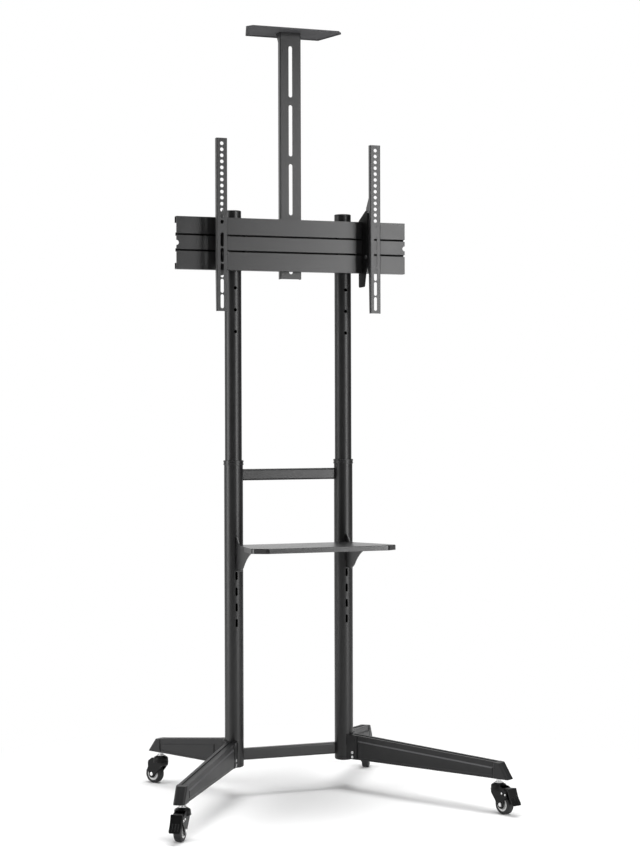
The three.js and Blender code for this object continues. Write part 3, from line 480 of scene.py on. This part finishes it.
HUB_COATS = [coat("pale_hub", grey(0.55, 0.99), 0.4, grain=0.1, spread=0.06)]
BOLT_COATS = [coat("black_bolt", grey(0.03), 0.35, grain=0.15, spread=0.2, shine=0.3)] * 2
MOULDING = [coat("moulding", grey(0.010), 0.38, grain=0.2, shine=0.45), EDGES["black_plastic"]]
RAIL_COATS = [coat("rail_coat", grey(0.019), 0.34, grain=0.25), EDGES["powder_coat"]]
SHELF_COATS = [coat("shelf_coat", grey(0.014), 0.29, grain=0.2, shine=0.6), EDGES["powder_coat"]]
# The tray is paler than the powder coat: painted light, standing in for the light that falls on its
# underside
TRAY_COATS = [coat("tray_painted_light_coat", grey(0.065), 0.6, grain=0.1, shine=0.06), EDGES["powder_coat"]]
BRACKET_COATS = [
    coat("dark_steel", grey(0.003), 0.5, grain=0.2, shine=0.12),
    worn("dark_steel", 0.014, 0.45, shine=0.3),
]
# Painted shade makes the plate black inside its grooves, and a painted highlight makes the front legs paler
# on the upward slopes of their panels
PLATE_COATS = [
    paint_light_and_shade(coat("plate_groove_shade_coat", **PLATE), groove_shade_mask, (0.001, 0.001, 0.001), rougher=0.65),
    EDGES["powder_coat"],
]
FRONT_LEG_COATS = [
    paint_light_and_shade(coat("leg_panel_highlight_coat", **LEG), panel_highlight_mask, (0.075, 0.075, 0.078)),
    EDGES["leg_coat"],
]


# Columns: two tubes each, with a cap, a foot, a collar and its lock screw
TUBE_FACETS = 96
COLLAR_R = LOWER_R + GAP + 1.4
LUG_END = COLLAR_R + 5.0
LOCK_Z = LOWER_Z[1] + 5.0
LOCK_R = 2.5


def on_column(name, side, profile, closed=False):
    """A piece turned round the axis of a column."""
    shift = Matrix.Translation((SIDES[side] * COLUMN_X, 0, 0))
    return solid(name, moved(turned(profile, TUBE_FACETS, closed), shift))


def tube(name, side, radius, wall, span, holes):
    """A tube with softened ends, and holes in its front."""
    bottom, top = span
    inner, edge, hole_depth = radius - wall, 0.4, 8.0
    profile = [
        (radius - edge, bottom),
        (radius, bottom + edge),
        (radius, top - edge),
        (radius - edge, top),
        (inner, top),
        (inner, bottom),
    ]
    obj = on_column(name, side, profile, closed=True)
    cut(obj, *[prism(points, -radius - OVERRUN, -radius + hole_depth, "Y") for points in holes])
    return edged(obj, 0.35)


def lower_tube(side):
    x, width, height = SIDES[side] * COLUMN_X, 6.0, 21.0
    slots = [slot_outline(x, z, width, height) for z in [LOW_SLOT_Z] + SHELF_SLOTS_Z]
    obj = tube(side + "_lower_tube", side, LOWER_R, LOWER_WALL, LOWER_Z, slots)
    place(obj, "base", "tube_coat", side + "_lower_column")


def upper_tube(side):
    x, lowest, pitch, radius = SIDES[side] * COLUMN_X, 1181.0, 55.5, 4.2
    holes = [circle(x, lowest + pitch * i, radius) for i in range(6)]
    obj = tube(side + "_upper_tube", side, UPPER_R, UPPER_WALL, UPPER_Z, holes)
    place(obj, "mast", "tube_coat", side + "_upper_column")


def top_cap(side):
    face = UPPER_Z[1] + GAP
    spigot, length, lead = UPPER_R - UPPER_WALL - GAP, 16.0, 1.0
    # The crown's rounding, by how far it lies in from the rim and above the face
    crown = [(0.3, 0), (0, 0.3), (0, 0.9), (0.5, 1.6), (1.6, 2.1), (3, 2.2)]
    profile = [
        (0, face - length),
        (spigot - lead, face - length),
        (spigot, face - length + lead),
        (spigot, face),
        *[(UPPER_R - inwards, face + rise) for inwards, rise in crown],
        (0, face + crown[-1][1]),
    ]
    obj = on_column(side + "_tube_cap", side, profile)
    place(obj, "mast", "black_plastic", side + "_top_cap", coats=MOULDING)


def column_foot(side):
    """A plug with a rounded rim round a dished underside."""
    face, low = LOWER_Z[0] - GAP, LOWER_Z[0] - 6.0
    rim, dish = 4.0, 1.2
    spigot, length = LOWER_R - LOWER_WALL - GAP, 20.0
    profile = [
        (0, low + dish),
        (LOWER_R - 2 * rim - 1, low + dish),
        (LOWER_R - 2 * rim, low),
        *arc(LOWER_R - rim, low + rim, rim, -90, 0, 8),
        (LOWER_R, face),
        (spigot, face),
        (spigot, face + length),
        (0, face + length),
    ]
    obj = on_column(side + "_tube_foot", side, profile)
    place(obj, "base", "black_plastic", side + "_column_foot", coats=MOULDING)


def collar(side):
    """A ring with a band at its foot and one at its top, and a lug for the lock screw at the back."""
    inner, bore, shoulder = LOWER_R + GAP, UPPER_R + GAP, LOWER_Z[1] + GAP
    bottom, top = LOWER_Z[1] - 6.0, LOWER_Z[1] + 5.5
    band, waist, step, edge = 3.0, 0.7, 0.6, 0.4
    profile = [
        (inner, bottom),
        (COLLAR_R - edge, bottom),
        (COLLAR_R, bottom + edge),
        (COLLAR_R, bottom + band),
        (COLLAR_R - waist, bottom + band + step),
        (COLLAR_R - waist, top - band - 2 * step),
        (COLLAR_R, top - band - step),
        (COLLAR_R, top - edge - step),
        (COLLAR_R - edge, top - edge),
        (COLLAR_R - 2 * step, top),
        (bore + step, top),
        (bore, top - step),
        (bore, shoulder),
        (inner, shoulder),
    ]
    ring = on_column(side + "_collar_ring", side, profile, closed=True)
    x, lug_r, root = SIDES[side] * COLUMN_X, 4.4, UPPER_R + 1
    lug = [(0, root), (lug_r, root), (lug_r, LUG_END - edge), (lug_r - edge, LUG_END), (0, LUG_END)]
    add(ring, about_y(x, LOCK_Z, turned(lug, 40)))
    cut(ring, about_y(x, LOCK_Z, rod(LOCK_R + GAP, UPPER_R / 2, LUG_END + OVERRUN, 32)))
    place(ring, "base", "black_plastic", side + "_collar", coats=MOULDING)


def lock_screw(side):
    """A screw that ends at the upper tube, with a hexagonal socket in its head."""
    x, tip, seat = SIDES[side] * COLUMN_X, UPPER_R + GAP, LUG_END + GAP
    head = [(5.1, 0), (5.5, 0.4), (5.5, 3.6), (4.6, 4.8), (3.4, 5.0), (0, 5.0)]
    socket_r, socket_floor = 2.1, 2.0
    profile = [(0, tip), (LOCK_R, tip), (LOCK_R, seat), *[(radius, seat + rise) for radius, rise in head]]
    screw = solid(side + "_lock_screw", about_y(x, LOCK_Z, turned(profile, 48)))
    end = seat + head[-1][1] + OVERRUN
    cut(screw, about_y(x, LOCK_Z, rod(socket_r, seat + socket_floor, end, 6)))
    place(screw, "base", "zinc", side + "_collar_screw")


# Casters, in the fork's own frame: the stem at X = 0, the axle at AXLE_AT in X and Z, and Y across
WHEEL_R = 25.0
AXLE_AT = (20.5, WHEEL_R)
AXLE_R, STEM_R, STEM_INSERTION = 3.0, 5.0, 20.0
FORK_INNER, FORK_SHEET = 11.3, 2.0
FORK_OUTER = FORK_INNER + FORK_SHEET
FORK_TOP, FORK_TOP_SHEET = 72.0, 3.0
HEAD_TOP = FORK_TOP + 2.0

# Sections as pairs of radius and distance along the axis. Those of the wheel are halves.
TYRE = [(17.0, -9.2), (18.2, -10.0), (21.0, -9.9), (23.4, -8.6), (24.6, -6.4), (WHEEL_R, -3.4)]
DISH = [
    (3.3, -8.6),
    (6.6, -8.6),
    (7.2, -8.0),
    (7.6, -6.6),
    (10.4, -6.6),
    (11.2, -8.2),
    (12.0, -8.9),
    (16.0, -9.1),
    (16.9, -8.6),
]
HOOD = [
    (0, 57.0),
    (20.0, 57.0),
    (20.0, 59.4),
    (19.2, 60.4),
    (19.2, 66.0),
    (18.6, 68.4),
    (17.2, 70.4),
    (15.2, 71.6),
    (12.6, FORK_TOP),
    (12.0, FORK_TOP + 0.4),
    (12.0, HEAD_TOP - 0.6),
    (11.2, HEAD_TOP),
    (0, HEAD_TOP),
]
RIVET = [(0, -2.0), (2.6, -2.0), (2.6, 0.3), (2.4, 1.0), (1.8, 1.6), (0.9, 1.9), (0, 2.0)]
RIVETS_AT = [(25.0, 52.4), (37.0, 50.8)]


def wheel(corner, matrix):
    """A tyre round a pale dished hub."""
    tyre = solid(corner + "_tyre", turned(mirrored(TYRE, 1), 80, closed=True))
    place(tyre, corner + "_roller", "tyre", corner + "_wheel", matrix=matrix)
    hub = solid(corner + "_hub", turned(mirrored(DISH, 1), 80, closed=True))
    place(hub, corner + "_roller", "tyre", matrix=matrix, coats=HUB_COATS)


def fork(corner, matrix, braked):
    """A fork with its hood. The cheeks of a braked one reach further back, to hold the pedal."""
    tail = AXLE_AT[0] + (21.0 if braked else 13.5)
    nose, top, tail_top, room_r = -14.0, FORK_TOP - 4.0, 58.0, 12.5
    if braked:
        heel = [(AXLE_AT[0] + 12.0, 37.0, 5.0), (tail, 45.0, 3.5), (tail, tail_top, 6.0)]
    else:
        heel = [(tail, 40.0, 6.0), (tail, tail_top, 8.0)]
    cheek = [(nose, 50.0, 6.0), *arc(*AXLE_AT, 10.5, 205, 350, 16), *heel, (20.0, top), (nose, top)]
    obj = solid(corner + "_hood", turned(HOOD, 64))
    add(obj, prism(rounded(cheek), -FORK_OUTER, FORK_OUTER, "Y"))
    turn, end = math.degrees(math.asin(FORK_INNER / room_r)), tail + OVERRUN
    room = [*arc(0, 0, room_r, 180 - turn, 180 + turn, 10), (end, -FORK_INNER), (end, FORK_INNER)]
    cut(obj, prism(room, -OVERRUN, FORK_TOP - FORK_TOP_SHEET, "Z"))
    cut(obj, prism(circle(0, 0, STEM_R + GAP), tail_top, HEAD_TOP + OVERRUN, "Z"))
    cut(obj, prism(circle(*AXLE_AT, AXLE_R + GAP), -FORK_OUTER - OVERRUN, FORK_OUTER + OVERRUN, "Y"))
    edged(obj, 0.5, segments=3)
    place(obj, corner + "_caster", "black_steel", corner + "_fork", matrix=matrix)


def rivets(corner, matrix):
    """Rivets through both cheeks, with their domed heads outside."""
    heads = []
    for sign in SIDES.values():
        for x, z in RIVETS_AT:
            face = Matrix.Translation((x, sign * FORK_OUTER, z))
            heads.append(moved(turned(RIVET, 24), face @ Matrix.Rotation(-sign * math.pi / 2, 4, "X")))
    obj = solid(corner + "_rivets", merged(*heads))
    place(obj, corner + "_caster", "zinc", matrix=matrix, coats=RIVET_COATS)


def pedal(corner, matrix):
    """The brake pedal: a bent and ribbed plate behind the tyre, on an arm from its hub."""
    sheet, half, low, top = 2.6, 14.0, 28.0, 66.5
    back = AXLE_AT[0] + WHEEL_R + 1.5
    bend, toe = (back + 7, 46.5), (back + 19.5, low)
    plate = [
        (back - sheet, top - sheet),
        (bend[0] - sheet, bend[1]),
        (toe[0] - sheet, low),
        toe,
        bend,
        (back, top),
        (back - sheet, top),
    ]
    obj = solid(corner + "_pedal", prism(plate, -half, half, "Y"))
    face = mirrored([(-half, top + 0.1, 1.5), (-half, low, 4.0)])
    keep_inside(obj, prism(rounded(face), back - sheet - OVERRUN, toe[0] + OVERRUN, "X"))
    x, z, hub_r, arm_half = 24.0, 60.0, 4.5, 11.0
    arm = [(x, z), (back - 0.5, top - 5.0), (back - 0.5, top), (x, z + hub_r)]
    for outline in (arm, circle(x, z, hub_r, 40)):
        add(obj, prism(outline, -arm_half, arm_half, "Y"))
    rib = [(back + 6.3, 46.9), (back + 16.9, 32.2), (back + 17.6, 32.7), (back + 7.2, 47.2)]
    for y in (-half / 2, 0.0, half / 2):
        add(obj, prism(rib, y - 1.0, y + 1.0, "Y"))
    edged(obj, 0.5, segments=3)
    body = body_of(corner + "_brake_pedal")
    place(obj, body, "black_plastic", corner + "_brake_pedal", matrix=matrix)


def axle(corner, matrix):
    """A rivet through fork and wheel, with a flat head and a domed one."""
    seat, head_r = FORK_OUTER + GAP, AXLE_R + 2.0
    end = seat + 2.4
    profile = [
        (0, -end),
        (head_r - 0.4, -end),
        (head_r, -end + 0.4),
        (head_r, -seat),
        (AXLE_R, -seat),
        (AXLE_R, seat),
        (head_r, seat),
        (head_r, end - 1.0),
        (head_r - 0.6, end - 0.3),
        (head_r - 1.8, end),
        (0, end),
    ]
    obj = solid(corner + "_axle_bolt", turned(profile, 40))
    place(obj, corner + "_caster", "zinc", corner + "_axle", matrix=matrix)


def stem(corner, stem_at, under):
    """The pin from its rivet inside the fork, through a flange on it, up into the leg's end."""
    rivet_r, flange_r, neck_r = 7.5, 9.5, 6.0
    rivet_top, flange_low = FORK_TOP - FORK_TOP_SHEET - GAP, HEAD_TOP + GAP
    rivet_low, flange_top = rivet_top - 2.0, flange_low + 2.5
    profile = [
        (0, rivet_low),
        (rivet_r - 0.3, rivet_low),
        (rivet_r, rivet_low + 0.3),
        (rivet_r, rivet_top),
        (STEM_R, rivet_top),
        (STEM_R, flange_low),
        (flange_r - 0.4, flange_low),
        (flange_r, flange_low + 0.4),
        (flange_r, flange_top - 0.6),
        (flange_r - 0.5, flange_top),
        (neck_r, flange_top),
        (neck_r, under),
        (STEM_R, under),
        (STEM_R, under + STEM_INSERTION),
        (0, under + STEM_INSERTION),
    ]
    obj = solid(corner + "_stem_pin", turned(profile, 48))
    matrix = Matrix.Translation((stem_at.x, stem_at.y, 0))
    place(obj, body_of(corner + "_stem"), "zinc", corner + "_stem", matrix=matrix)


def leg_end(corner, column, stem_at):
    """The block at a leg's end, with X out along the leg. Gives the height of its underside at the stem."""
    front = corner.startswith("front")
    run = (stem_at - column).xy.length
    reach = run + (35.1 if front else 33.6)
    root_height, end_height = (65.0, 38.0) if front else (68.0, 31.0)
    root_foot, end_foot = 78.0, 85.0
    half, length, slant, corner_r = 14.0, 41.5, 25.0, 5.5

    def bottom(at):
        return root_foot + (end_foot - root_foot) * at / reach

    def top(at):
        return bottom(at) + root_height + (end_height - root_height) * at / reach

    start, tip = reach - length, reach - slant
    side = [(start, bottom(start)), (reach, bottom(reach)), (tip, top(tip)), (start, top(start))]
    obj = solid(corner + "_leg_block", prism(side, -half, half, "Y"))
    # Only the two edges that run up the slanted end are rounded
    round_edges(obj, lambda a, b: min(a.x, b.x) > start + 1 and abs(a.y - b.y) < 0.1, corner_r)
    pocket_top = bottom(run) + STEM_INSERTION + GAP
    cut(obj, prism(circle(run, 0, STEM_R + GAP), root_foot - OVERRUN, pocket_top, "Z"))
    turn = math.atan2(stem_at.y - column.y, stem_at.x - column.x)
    matrix = Matrix.Translation((column.x, column.y, 0)) @ Matrix.Rotation(turn, 4, "Z")
    place(edged(obj, 0.9, segments=3), "base", "leg_coat", corner + "_leg_end", matrix=matrix)
    return bottom(run)


def caster(corner):
    """A caster where its nodes stand in the frame, and the leg's end over it. The front ones have brakes."""
    stem_at, wheel_at = middle(corner + "_stem"), middle(corner + "_wheel")
    turn = math.atan2(wheel_at.y - stem_at.y, wheel_at.x - stem_at.x)
    here = Matrix.Translation((stem_at.x, stem_at.y, 0)) @ Matrix.Rotation(turn, 4, "Z")
    at_axle = here @ Matrix.Translation((AXLE_AT[0], 0, AXLE_AT[1]))
    rolling = at_axle @ Matrix.Rotation(-math.pi / 2, 4, "X")
    braked = corner.startswith("front")
    wheel(corner, rolling)
    fork(corner, here, braked)
    if braked:
        rivets(corner, here)
        pedal(corner, here)
    axle(corner, rolling)
    column = Vector((math.copysign(COLUMN_X, stem_at.x), 0, 0))
    stem(corner, stem_at, leg_end(corner, column, stem_at) - GAP)


# Shelf
def shelf():
    """A tray with turned-down lips, which slopes up to the front."""
    back, front, depth, corner = 153.0, 187.0, 277.0, 31.0
    notch_width, notch, bend, steps = 10.0, 20.0, 14.0, 8
    lip, sheet, lip_bend = 12.6, 1.5, 2.4
    gap_behind, drop, rise = 3.0, 1.3, 10.1
    inner = back - notch_width
    ends = [(front, -depth + corner, bend), (front - corner, -depth, bend)]
    outline = rounded(mirrored([(inner, 0), (inner, -notch), (back, -notch), *ends]), steps)
    obj = solid("shelf_tray", prism(outline, -lip, 0, "Z"))
    round_edges(obj, lambda a, b: min(a.z, b.z) > -0.01 and max(a.y, b.y) < -notch - 0.1, lip_bend, 4)
    room = inset(rounded(mirrored([(back, -notch), *ends]), steps), sheet)
    room = [(x, 1.0 if y > -notch - sheet - 0.1 else y) for x, y in room]
    cut(obj, prism(room, -lip - OVERRUN, -sheet, "Z"))
    add(obj, prism(rectangle(-inner, inner, -sheet, 0), -lip, -0.2, "Z"))
    hooked_at = Matrix.Translation((0, -LOWER_R - gap_behind, SHELF_SLOTS_Z[0] - drop))
    matrix = hooked_at @ Matrix.Rotation(-math.atan2(rise, depth), 4, "X")
    place(edged(obj, 0.3), body_of("shelf"), "powder_coat", "shelf", matrix=matrix, coats=SHELF_COATS)


# Rails, tilt brackets and camera post
def channel(width, sheet, front, depth, bend):
    """Outline in plan of a folded channel that opens to the back."""
    half, back, inner_bend = width / 2, front + depth, 0.4
    outside = mirrored([(-half, back), (-half, front, bend)])
    inside = mirrored([(half - sheet, back), (half - sheet, front + sheet, inner_bend)])
    return rounded(outside + inside)


def rail(side):
    """A rail whose flanges taper at the foot. The one towards the columns has an ear with a window."""
    sign = SIDES[side]
    x, low, high = sign * RAIL_X, 1228.5, 1658.5
    sheet, foot_flange, flange, ear_reach, bend = 2.0, 8.0, 12.0, 19.0, 2.2
    section = channel(RAIL_WIDTH, sheet, RAIL_FRONT, flange + ear_reach, bend)
    shift = Matrix.Translation((x, 0, 0))
    obj = solid(side + "_screen_rail", moved(prism(section, low, high, "Z"), shift))

    # What is cut away behind the flanges
    foot, back, far = RAIL_FRONT + foot_flange, RAIL_FRONT + flange, RAIL_FRONT + 40.0
    taper = [(foot, low - 1), (foot, low), (back, low + 95.0)]
    ear_foot, ear_low, ear_high, ear_top = (low + rise for rise in (101.5, 133.5, 270.5, 296.5))
    ear = [(back, ear_foot), (back + ear_reach, ear_low), (back + ear_reach, ear_high), (back, ear_top)]
    end = [(back, high + 1), (far, high + 1), (far, low - 1)]
    near, beyond = RAIL_WIDTH / 4, RAIL_WIDTH / 2 + 3.0
    cut(obj, prism(taper + end, *sorted((x + sign * near, x + sign * beyond)), "X"))
    cut(obj, prism(taper + ear + end, *sorted((x - sign * near, x - sign * beyond)), "X"))

    hole_r, hole_pitch, hole_drop = 4.6, 15.0, 13.5
    slot_width, slot_length, slot_pitch, slot_rise = 8.6, 35.0, 38.3, 24.5
    holes = [circle(x, high - hole_drop - hole_pitch * i, hole_r) for i in range(14)]
    holes += [slot_outline(x, low + slot_rise + slot_pitch * i, slot_width, slot_length) for i in range(5)]
    cut(obj, *[prism(points, RAIL_FRONT - OVERRUN, RAIL_FRONT + sheet + 3.0, "Y") for points in holes])
    window_in, window_rise, window_r = 7.0, 261.0, 3.6
    for hole in (circle(back + window_in, low + window_rise, window_r), circle(*TILT_AXIS, TILT_BORE_R)):
        cut(obj, prism(hole, x - RAIL_WIDTH, x + RAIL_WIDTH, "X"))
    place(edged(obj, 0.35), body_of(side + "_rail"), "powder_coat", side + "_rail", coats=RAIL_COATS)


def tilt_bracket(side):
    """A plate beside the rail that hooks over the wall plate, with a tongue below it."""
    sign = SIDES[side]
    sheet, longest = 3.0, 36.0
    tongue = 13.0 if side == "left" else longest
    front, low, high = RAIL_FRONT + 14.0, PLATE_Z[0] - GAP, PLATE_Z[1] + GAP
    crown_in, shoulder_in, tip_in = 13.0, 5.0, 11.0
    crown, shoulder, chin = PLATE_Z[1] + 26.0, PLATE_Z[1] + 17.0, TILT_AXIS[1] - 11.2
    seat, behind = PLATE_FRONT - GAP, PLATE_REAR + GAP
    back, hook, lip = behind + 5.0, 12.0, 5.0
    outline = [
        (front, chin, 5.0),
        (front + crown_in, low, 3.0),
        (front + crown_in + tip_in * tongue / longest, low - tongue, 6.0),
        (back, low - tongue, 6.0),
        (back, low + lip, 1.0),
        (behind, low + lip),
        (behind, low),
        (seat, low),
        (seat, high),
        (behind, high),
        (behind, high - hook, 1.0),
        (back, high - hook, 1.0),
        (back, high + 4.0, 3.0),
        (front + crown_in, crown, 4.0),
        (front + shoulder_in, crown, 4.0),
        (front, shoulder, 4.0),
    ]
    near = sign * (RAIL_X - RAIL_WIDTH / 2 - GAP)
    obj = solid(side + "_hook_plate", prism(rounded(outline), *sorted((near, near - sign * sheet)), "X"))
    cut(obj, prism(circle(*TILT_AXIS, TILT_BORE_R), near - RAIL_WIDTH, near + RAIL_WIDTH, "X"))
    body = body_of(side + "_tilt_bracket")
    place(edged(obj, 0.5), body, "powder_coat", side + "_tilt_bracket", coats=BRACKET_COATS)


def camera_post():
    """A slotted channel whose flanges flare at the top, under a closed head."""
    front, low, high, half, sheet = -UPPER_R, 1316.6, 1946.6, 28.35, 2.0
    depth, flare_depth, flare_height, bend = 15.0, 31.0, 25.0, 2.4
    obj = solid("slotted_post", prism(channel(2 * half, sheet, front, flare_depth, bend), low, high, "Z"))
    # How far the cutters reach: to the back, to the sides and ahead of the face
    far, wide, ahead = 30.0, 40.0, 3.0
    behind = [
        (front + depth, low - 1),
        (front + depth, high - flare_height),
        (front + flare_depth + 0.2, high + 0.2),
        (far, high + 1),
        (far, low - 1),
    ]
    cut(obj, prism(behind, -wide, wide, "X"))
    head = rectangle(-half + 1, half - 1, front + 1, front + flare_depth)
    add(obj, prism(head, high - sheet, high, "Z"))
    slot_width, slot_length, slot_pitch, slot_rise = 9.8, 131.0, 150.5, 78.5
    slots = [slot_outline(0, low + slot_rise + slot_pitch * i, slot_width, slot_length) for i in range(4)]
    cut(obj, *[prism(points, front - ahead, front + sheet + 3.0, "Y") for points in slots])
    place(edged(obj, 0.4), body_of("camera_post"), "powder_coat", "camera_post")


# The nodes that are kept: how wide their edges are rounded, by slot, and the coats of some
EDGE_WIDTHS = {
    "powder_coat": 0.45,
    "leg_coat": 2.0,
    "black_plastic": 0.4,
    "black_steel": 0.5,
    "zinc": 0.3,
    "tyre": 0.8,
    "tube_coat": 0.5,
}
KEPT_COATS = {
    "wall_plate": PLATE_COATS,
    "camera_tray": TRAY_COATS,
    "left_tilt_bolt": BOLT_COATS,
    "right_tilt_bolt": BOLT_COATS,
    "front_left_leg": FRONT_LEG_COATS,
    "front_right_leg": FRONT_LEG_COATS,
}


def kept_nodes():
    slots = {row["node"]: row["material_slot"] for row in frame["record"]["subparts"]}
    for name, obj in nodes.items():
        if not obj.hide_render:
            dress(name, slots[name], EDGE_WIDTHS[slots[name]], coats=KEPT_COATS.get(name))


# Camera, lamps and studio. Their places and sizes are metres.
WHITE = (1, 1, 1, 1)


def camera():
    """The photo's view, as fitted to the whole object."""
    yaw, pitch, roll = (math.radians(angle) for angle in (19.521, -0.565, -0.159))
    eye = Vector((OX * MM - 1.4827, OY * MM - 4.4223, 0.9841))
    ahead = Vector((math.sin(yaw) * math.cos(pitch), math.cos(yaw) * math.cos(pitch), math.sin(pitch)))
    level = Vector((math.cos(yaw), -math.sin(yaw), 0.0))
    upright = level.cross(ahead)
    right = level * math.cos(roll) + upright * math.sin(roll)
    up = upright * math.cos(roll) - level * math.sin(roll)
    obj = link("camera", bpy.data.cameras.new("camera"))
    obj.data.sensor_width = 36.0
    obj.data.lens = 76.427
    obj.data.clip_end = 60.0
    obj.matrix_world = Matrix.Translation(eye) @ Matrix((right, up, -ahead)).transposed().to_4x4()
    bpy.context.scene.camera = obj


def lamp(name, at, target, wide, tall, power):
    """A rectangular lamp at a place, pointed at another."""
    data = bpy.data.lights.new(name, "AREA")
    data.shape = "RECTANGLE"
    data.size, data.size_y = wide, tall
    data.energy = power
    obj = link(name, data)
    obj.location = at
    obj.rotation_euler = (Vector(target) - Vector(at)).to_track_quat("-Z", "Y").to_euler()


def looking(tree, back):
    """Gives one where a ray looks straight, and beside it the value of back where it is mirrored."""
    path = node(tree, "LightPath").outputs
    straight = math_node(tree, "ADD", path["Is Camera Ray"], path["Is Transmission Ray"], clamp=True)
    return straight, math_node(tree, "MULTIPLY", path["Is Glossy Ray"], back, clamp=True)


def world():
    """White to the camera and where the back of the room is mirrored, and dim as a light."""
    made = bpy.data.worlds.new("studio")
    bpy.context.scene.world = made
    made.use_nodes = True
    tree = made.node_tree
    tree.nodes.clear()
    towards = split_axes(tree, node(tree, "TexCoord").outputs["Generated"])
    straight, in_mirror = looking(tree, rising(tree, towards["Y"], 0.35, 1.0))
    seen = math_node(tree, "ADD", straight, in_mirror, clamp=True)
    light = node(tree, "Background", {"Color": WHITE, "Strength": 0.05}).outputs[0]
    white = node(tree, "Background", {"Color": WHITE, "Strength": 1.0}).outputs[0]
    mix = node(tree, "MixShader", {0: seen, 1: light, 2: white})
    node(tree, "OutputWorld", {"Surface": mix.outputs[0]})


def floor_coat():
    """Matt where the object stands and shades it, and pure white further away."""
    mat = bpy.data.materials.new("floor")
    mat.use_nodes = True
    tree = mat.node_tree
    matt = tree.nodes["Principled BSDF"]
    matt.inputs["Base Color"].default_value = (0.97, 0.97, 0.97, 1)
    matt.inputs["Roughness"].default_value = 0.9
    matt.inputs["Specular IOR Level"].default_value = 0.1
    here = node(tree, "TexCoord").outputs["Object"]
    reach = node(tree, "VectorMath", {0: here}, operation="LENGTH").outputs["Value"]
    straight, in_mirror = looking(tree, rising(tree, split_axes(tree, here)["Y"], 0.6, 2.5))
    half_mirror = math_node(tree, "MULTIPLY", in_mirror, 0.5, clamp=True)
    seen = math_node(tree, "ADD", straight, half_mirror, clamp=True)
    far = math_node(tree, "MULTIPLY", seen, rising(tree, reach, 0.45, 1.1), clamp=True)
    white = node(tree, "Emission", {"Color": WHITE, "Strength": 1.0})
    mix = node(tree, "MixShader", {0: far, 1: matt.outputs[0], 2: white.outputs[0]})
    tree.links.new(mix.outputs[0], tree.nodes["Material Output"].inputs["Surface"])
    return mat


def white_floor():
    size = 30.0
    floor = link("floor", bpy.data.meshes.new("floor"))
    corners = [(x, y, 0) for x, y in rectangle(-size, size, -size, size)]
    floor.data.from_pydata(corners, [], [[0, 1, 2, 3]])
    floor.data.materials.append(floor_coat())


for side in SIDES:
    lower_tube(side)
    upper_tube(side)
    top_cap(side)
    column_foot(side)
    collar(side)
    lock_screw(side)
for corner in CORNERS:
    caster(corner)
shelf()
for make in (rail, tilt_bracket):
    for side in SIDES:
        make(side)
camera_post()
kept_nodes()

camera()
world()
white_floor()
lamp("key", (2.2, -3.4, 1.4), (0, 0.1, 1.0), 1.7, 2.6, 118)
lamp("side", (-3.4, 0.3, 1.2), (0, 0.1, 1.0), 1.4, 2.6, 80)
lamp("top", (0.2, -0.3, 4.6), (0, 0.1, 0.0), 3.4, 3.4, 235)
bpy.context.scene.view_settings.view_transform = "Standard"
